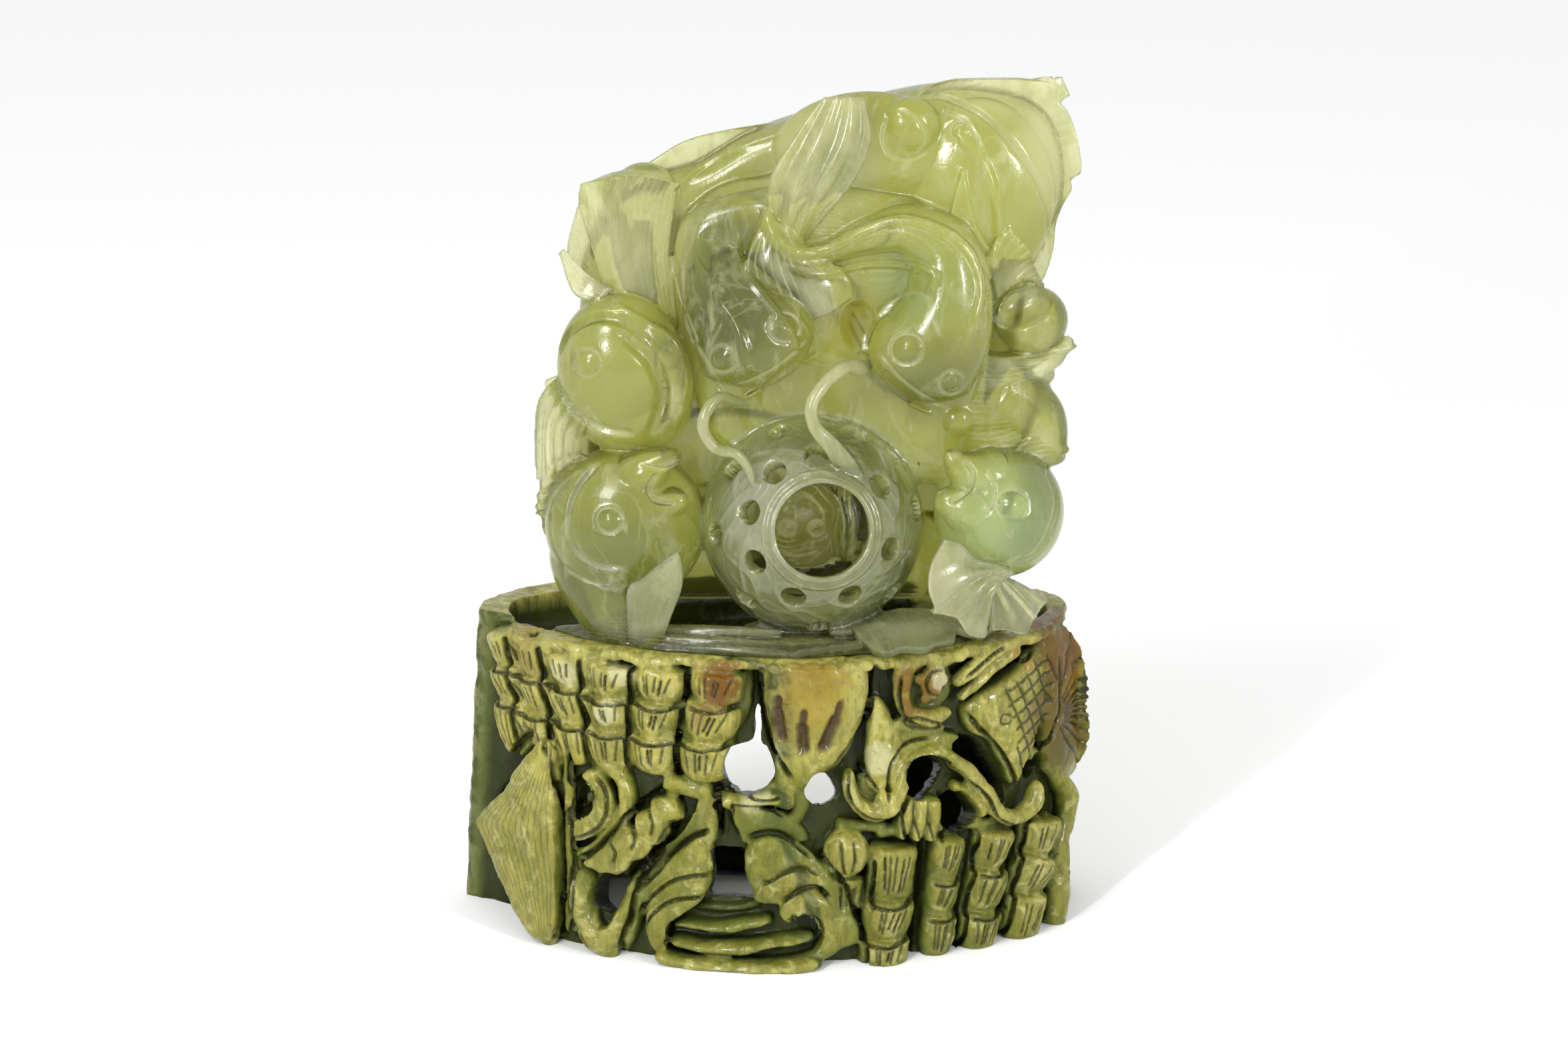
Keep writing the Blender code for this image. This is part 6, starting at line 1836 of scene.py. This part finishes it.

# %% Painted light on proud parts, the sawn face, the brown skin and the white patches
corner, normal = SAWN_FACE
along = olive.along(normal)
level = corner.dot(normal)
sawn = along.within((level - 2) * MM, (level - 1) * MM) * along.within((level + 1.5) * MM, (level + 0.7) * MM)
# Parts that stand proud of the plan are painted lighter: painted light.
olive.lay(sunk.within(0.6, -2.2) * 0.16, (188, 180, 104))
sawn_stone = olive.blend(mottle.within(0.35, 0.65), (60, 66, 26), (104, 106, 60))
olive.lay(sawn, sawn_stone)
for centre, reach, tint, strength in (
    ((11, -46, 80), 22, (134, 116, 36), 0.8),
    ((11, -44, 89), 15, (108, 82, 18), 0.5),
    ((-17, -42, 84), 16, (98, 60, 8), 0.95),
    ((-22, -40, 75), 9, (112, 88, 22), 0.6),
    ((-30, -40, 84), 10, (176, 144, 50), 0.6),
    ((42, -36, 80), 17, (100, 72, 10), 0.95),
    ((88, 0, 66), 30, (82, 66, 10), 0.95),
    ((90, -2, 72), 13, (120, 88, 16), 0.8),
    ((86, -8, 52), 12, (72, 66, 16), 0.8),
    ((84, 0, 86), 22, (88, 62, 12), 0.9),
    ((74, -18, 84), 12, (134, 100, 24), 0.8),
    ((-70, -8, 84), 12, (132, 108, 46), 0.5),
):
    patch = (olive.near(centre, reach, 0.25) + 1.4 * mottle + 0.8 * clouds - 1.1).within(0.15, 0.8)
    patch = patch * olive.near(centre, 1.1 * reach, 0.8)
    olive.lay(patch * strength, tint)
flutes = olive.near(wall(9, 73, 0), 17, 0.7) * cutting.within(0.0, 0.8) * (0.5 + mottle)
for centre, reach in ((wall(-60, 82, 0), 8), (wall(-48, 72, 1), 7), (wall(29, 60, -3), 10),
                      (wall(46, 82, 0), 6),
                      (wall(-44, 84, 0), 7), (wall(-2, 62, -3), 8), (wall(-6, 50, -3), 9)):
    white = (olive.near(centre, reach, 0.0) * (0.2 + grain + mottle)).within(0.35, 0.7)
    olive.lay(white * 0.55, (182, 180, 140))
count_nodes(olive)

# %% Pits, dirt and painted shade in the recesses, and wax
pits = olive.noise(1.3, 2, shift=23).within(0.58, 0.7)
olive.lay(pits * 0.35, (70, 70, 28))
# Recesses, sheltered creases and engraved cuts are painted darker: partly dirt and old wax, partly painted
# shade.
olive.lay(sunk.within(0.6, 3.4) * 0.7, (86, 94, 38))
olive.lay(shelter.within(0.15, 0.5) * 0.7, (66, 72, 28))
olive.lay(sunk.within(2.2, 6.5) * 0.9, (34, 40, 13))
# Deep inside the stand and in deep shelter the stone is painted nearly black: painted shade.
olive.lay(sunk.within(9.0, 13.0) * 0.9, (16, 17, 8))
olive.lay(shelter.within(0.42, 0.75) * 0.8, (18, 21, 8))
olive.lay(cutting.within(0.1, 0.8) * 0.75 + line * 0.3, (38, 38, 14))
olive.lay(flutes * 0.8, (62, 42, 22))
olive.feed("Base Color", olive.colour)
olive.feed("Roughness", 0.3 + 0.2 * grain - 0.1 * shelter)
olive.feed("Coat Weight", 0.06 + 0.45 * mottle.within(0.35, 0.6) * sunk.within(4.0, 1.0))
fine = olive.bump(grain - 0.4 * line, 0.2)
olive.feed("Normal", olive.bump(mottle, 0.35, fine))
dress(stand, olive)

# %% [markdown]
# ## The studio
# A pale floor and a pale surround light the stones from all round, which is what makes thin stone glow.
# One softbox high at the left gives the broad highlights, and two narrow strips give the sharp ones.

# %% Floor and surround
FLOOR_HALF = 2.5
bpy.context.scene.view_settings.view_transform = "Standard"
world = bpy.data.worlds.new("pale surround")
bpy.context.scene.world = world
world.use_nodes = True
world.node_tree.nodes["Background"].inputs["Color"].default_value = (1, 1, 1, 1)
world.node_tree.nodes["Background"].inputs["Strength"].default_value = 1.0
form = bmesh.new()
bmesh.ops.create_grid(form, x_segments=1, y_segments=1, size=FLOOR_HALF)
floor = as_object("floor", mesh_of(form, "floor"))
floor.data.materials.append(paper.material)
print("the floor is", 2 * FLOOR_HALF, "m wide")

# %% Lights
low, high = cad_box
middle = (low + high) / 2
span = (high - low).length
for name, place, energy, size in (
    ("softbox", (-1.6, -2.4, 2.8), 6, (1.0, 1.0)),
    ("strip left", (-1.5, -3.0, 1.3), 5, (0.1, 0.8)),
    ("strip right", (2.1, -2.3, 1.0), 4, (0.1, 0.8)),
):
    light = bpy.data.lights.new(name, "AREA")
    light.energy = energy
    light.shape = "RECTANGLE"
    light.size = size[0] * span
    light.size_y = size[1] * span
    lamp = as_object(name, light)
    lamp.location = middle + Vector(place) * span
    lamp.rotation_euler = (middle - lamp.location).to_track_quat("-Z", "Y").to_euler()
    print(name, "gives", energy, "W")

# %% Camera
CAMERA_DISTANCE = 1.3
FRAME_WIDTH = 0.4475
AIM = Vector((0.002, 0, 0.120))
camera_data = bpy.data.cameras.new("camera")
camera_data.lens = camera_data.sensor_width * CAMERA_DISTANCE / FRAME_WIDTH
camera = as_object("camera", camera_data)
camera.location = AIM - SIGHT * CAMERA_DISTANCE
camera.rotation_euler = SIGHT.to_track_quat("-Z", "Y").to_euler()
bpy.context.scene.camera = camera
print("the camera's lens is", round(camera_data.lens), "mm, looking down by",
      round(math.degrees(LOOK_DOWN)), "degrees")

# %% [markdown]
# ## The sizes
# The dressed stones are kept within the boxes of the solids they stand for, and the solids' box is written
# down.

# %% Sizes
print("solids", [round(value, 4) for value in cad_box[1] - cad_box[0]], "m")
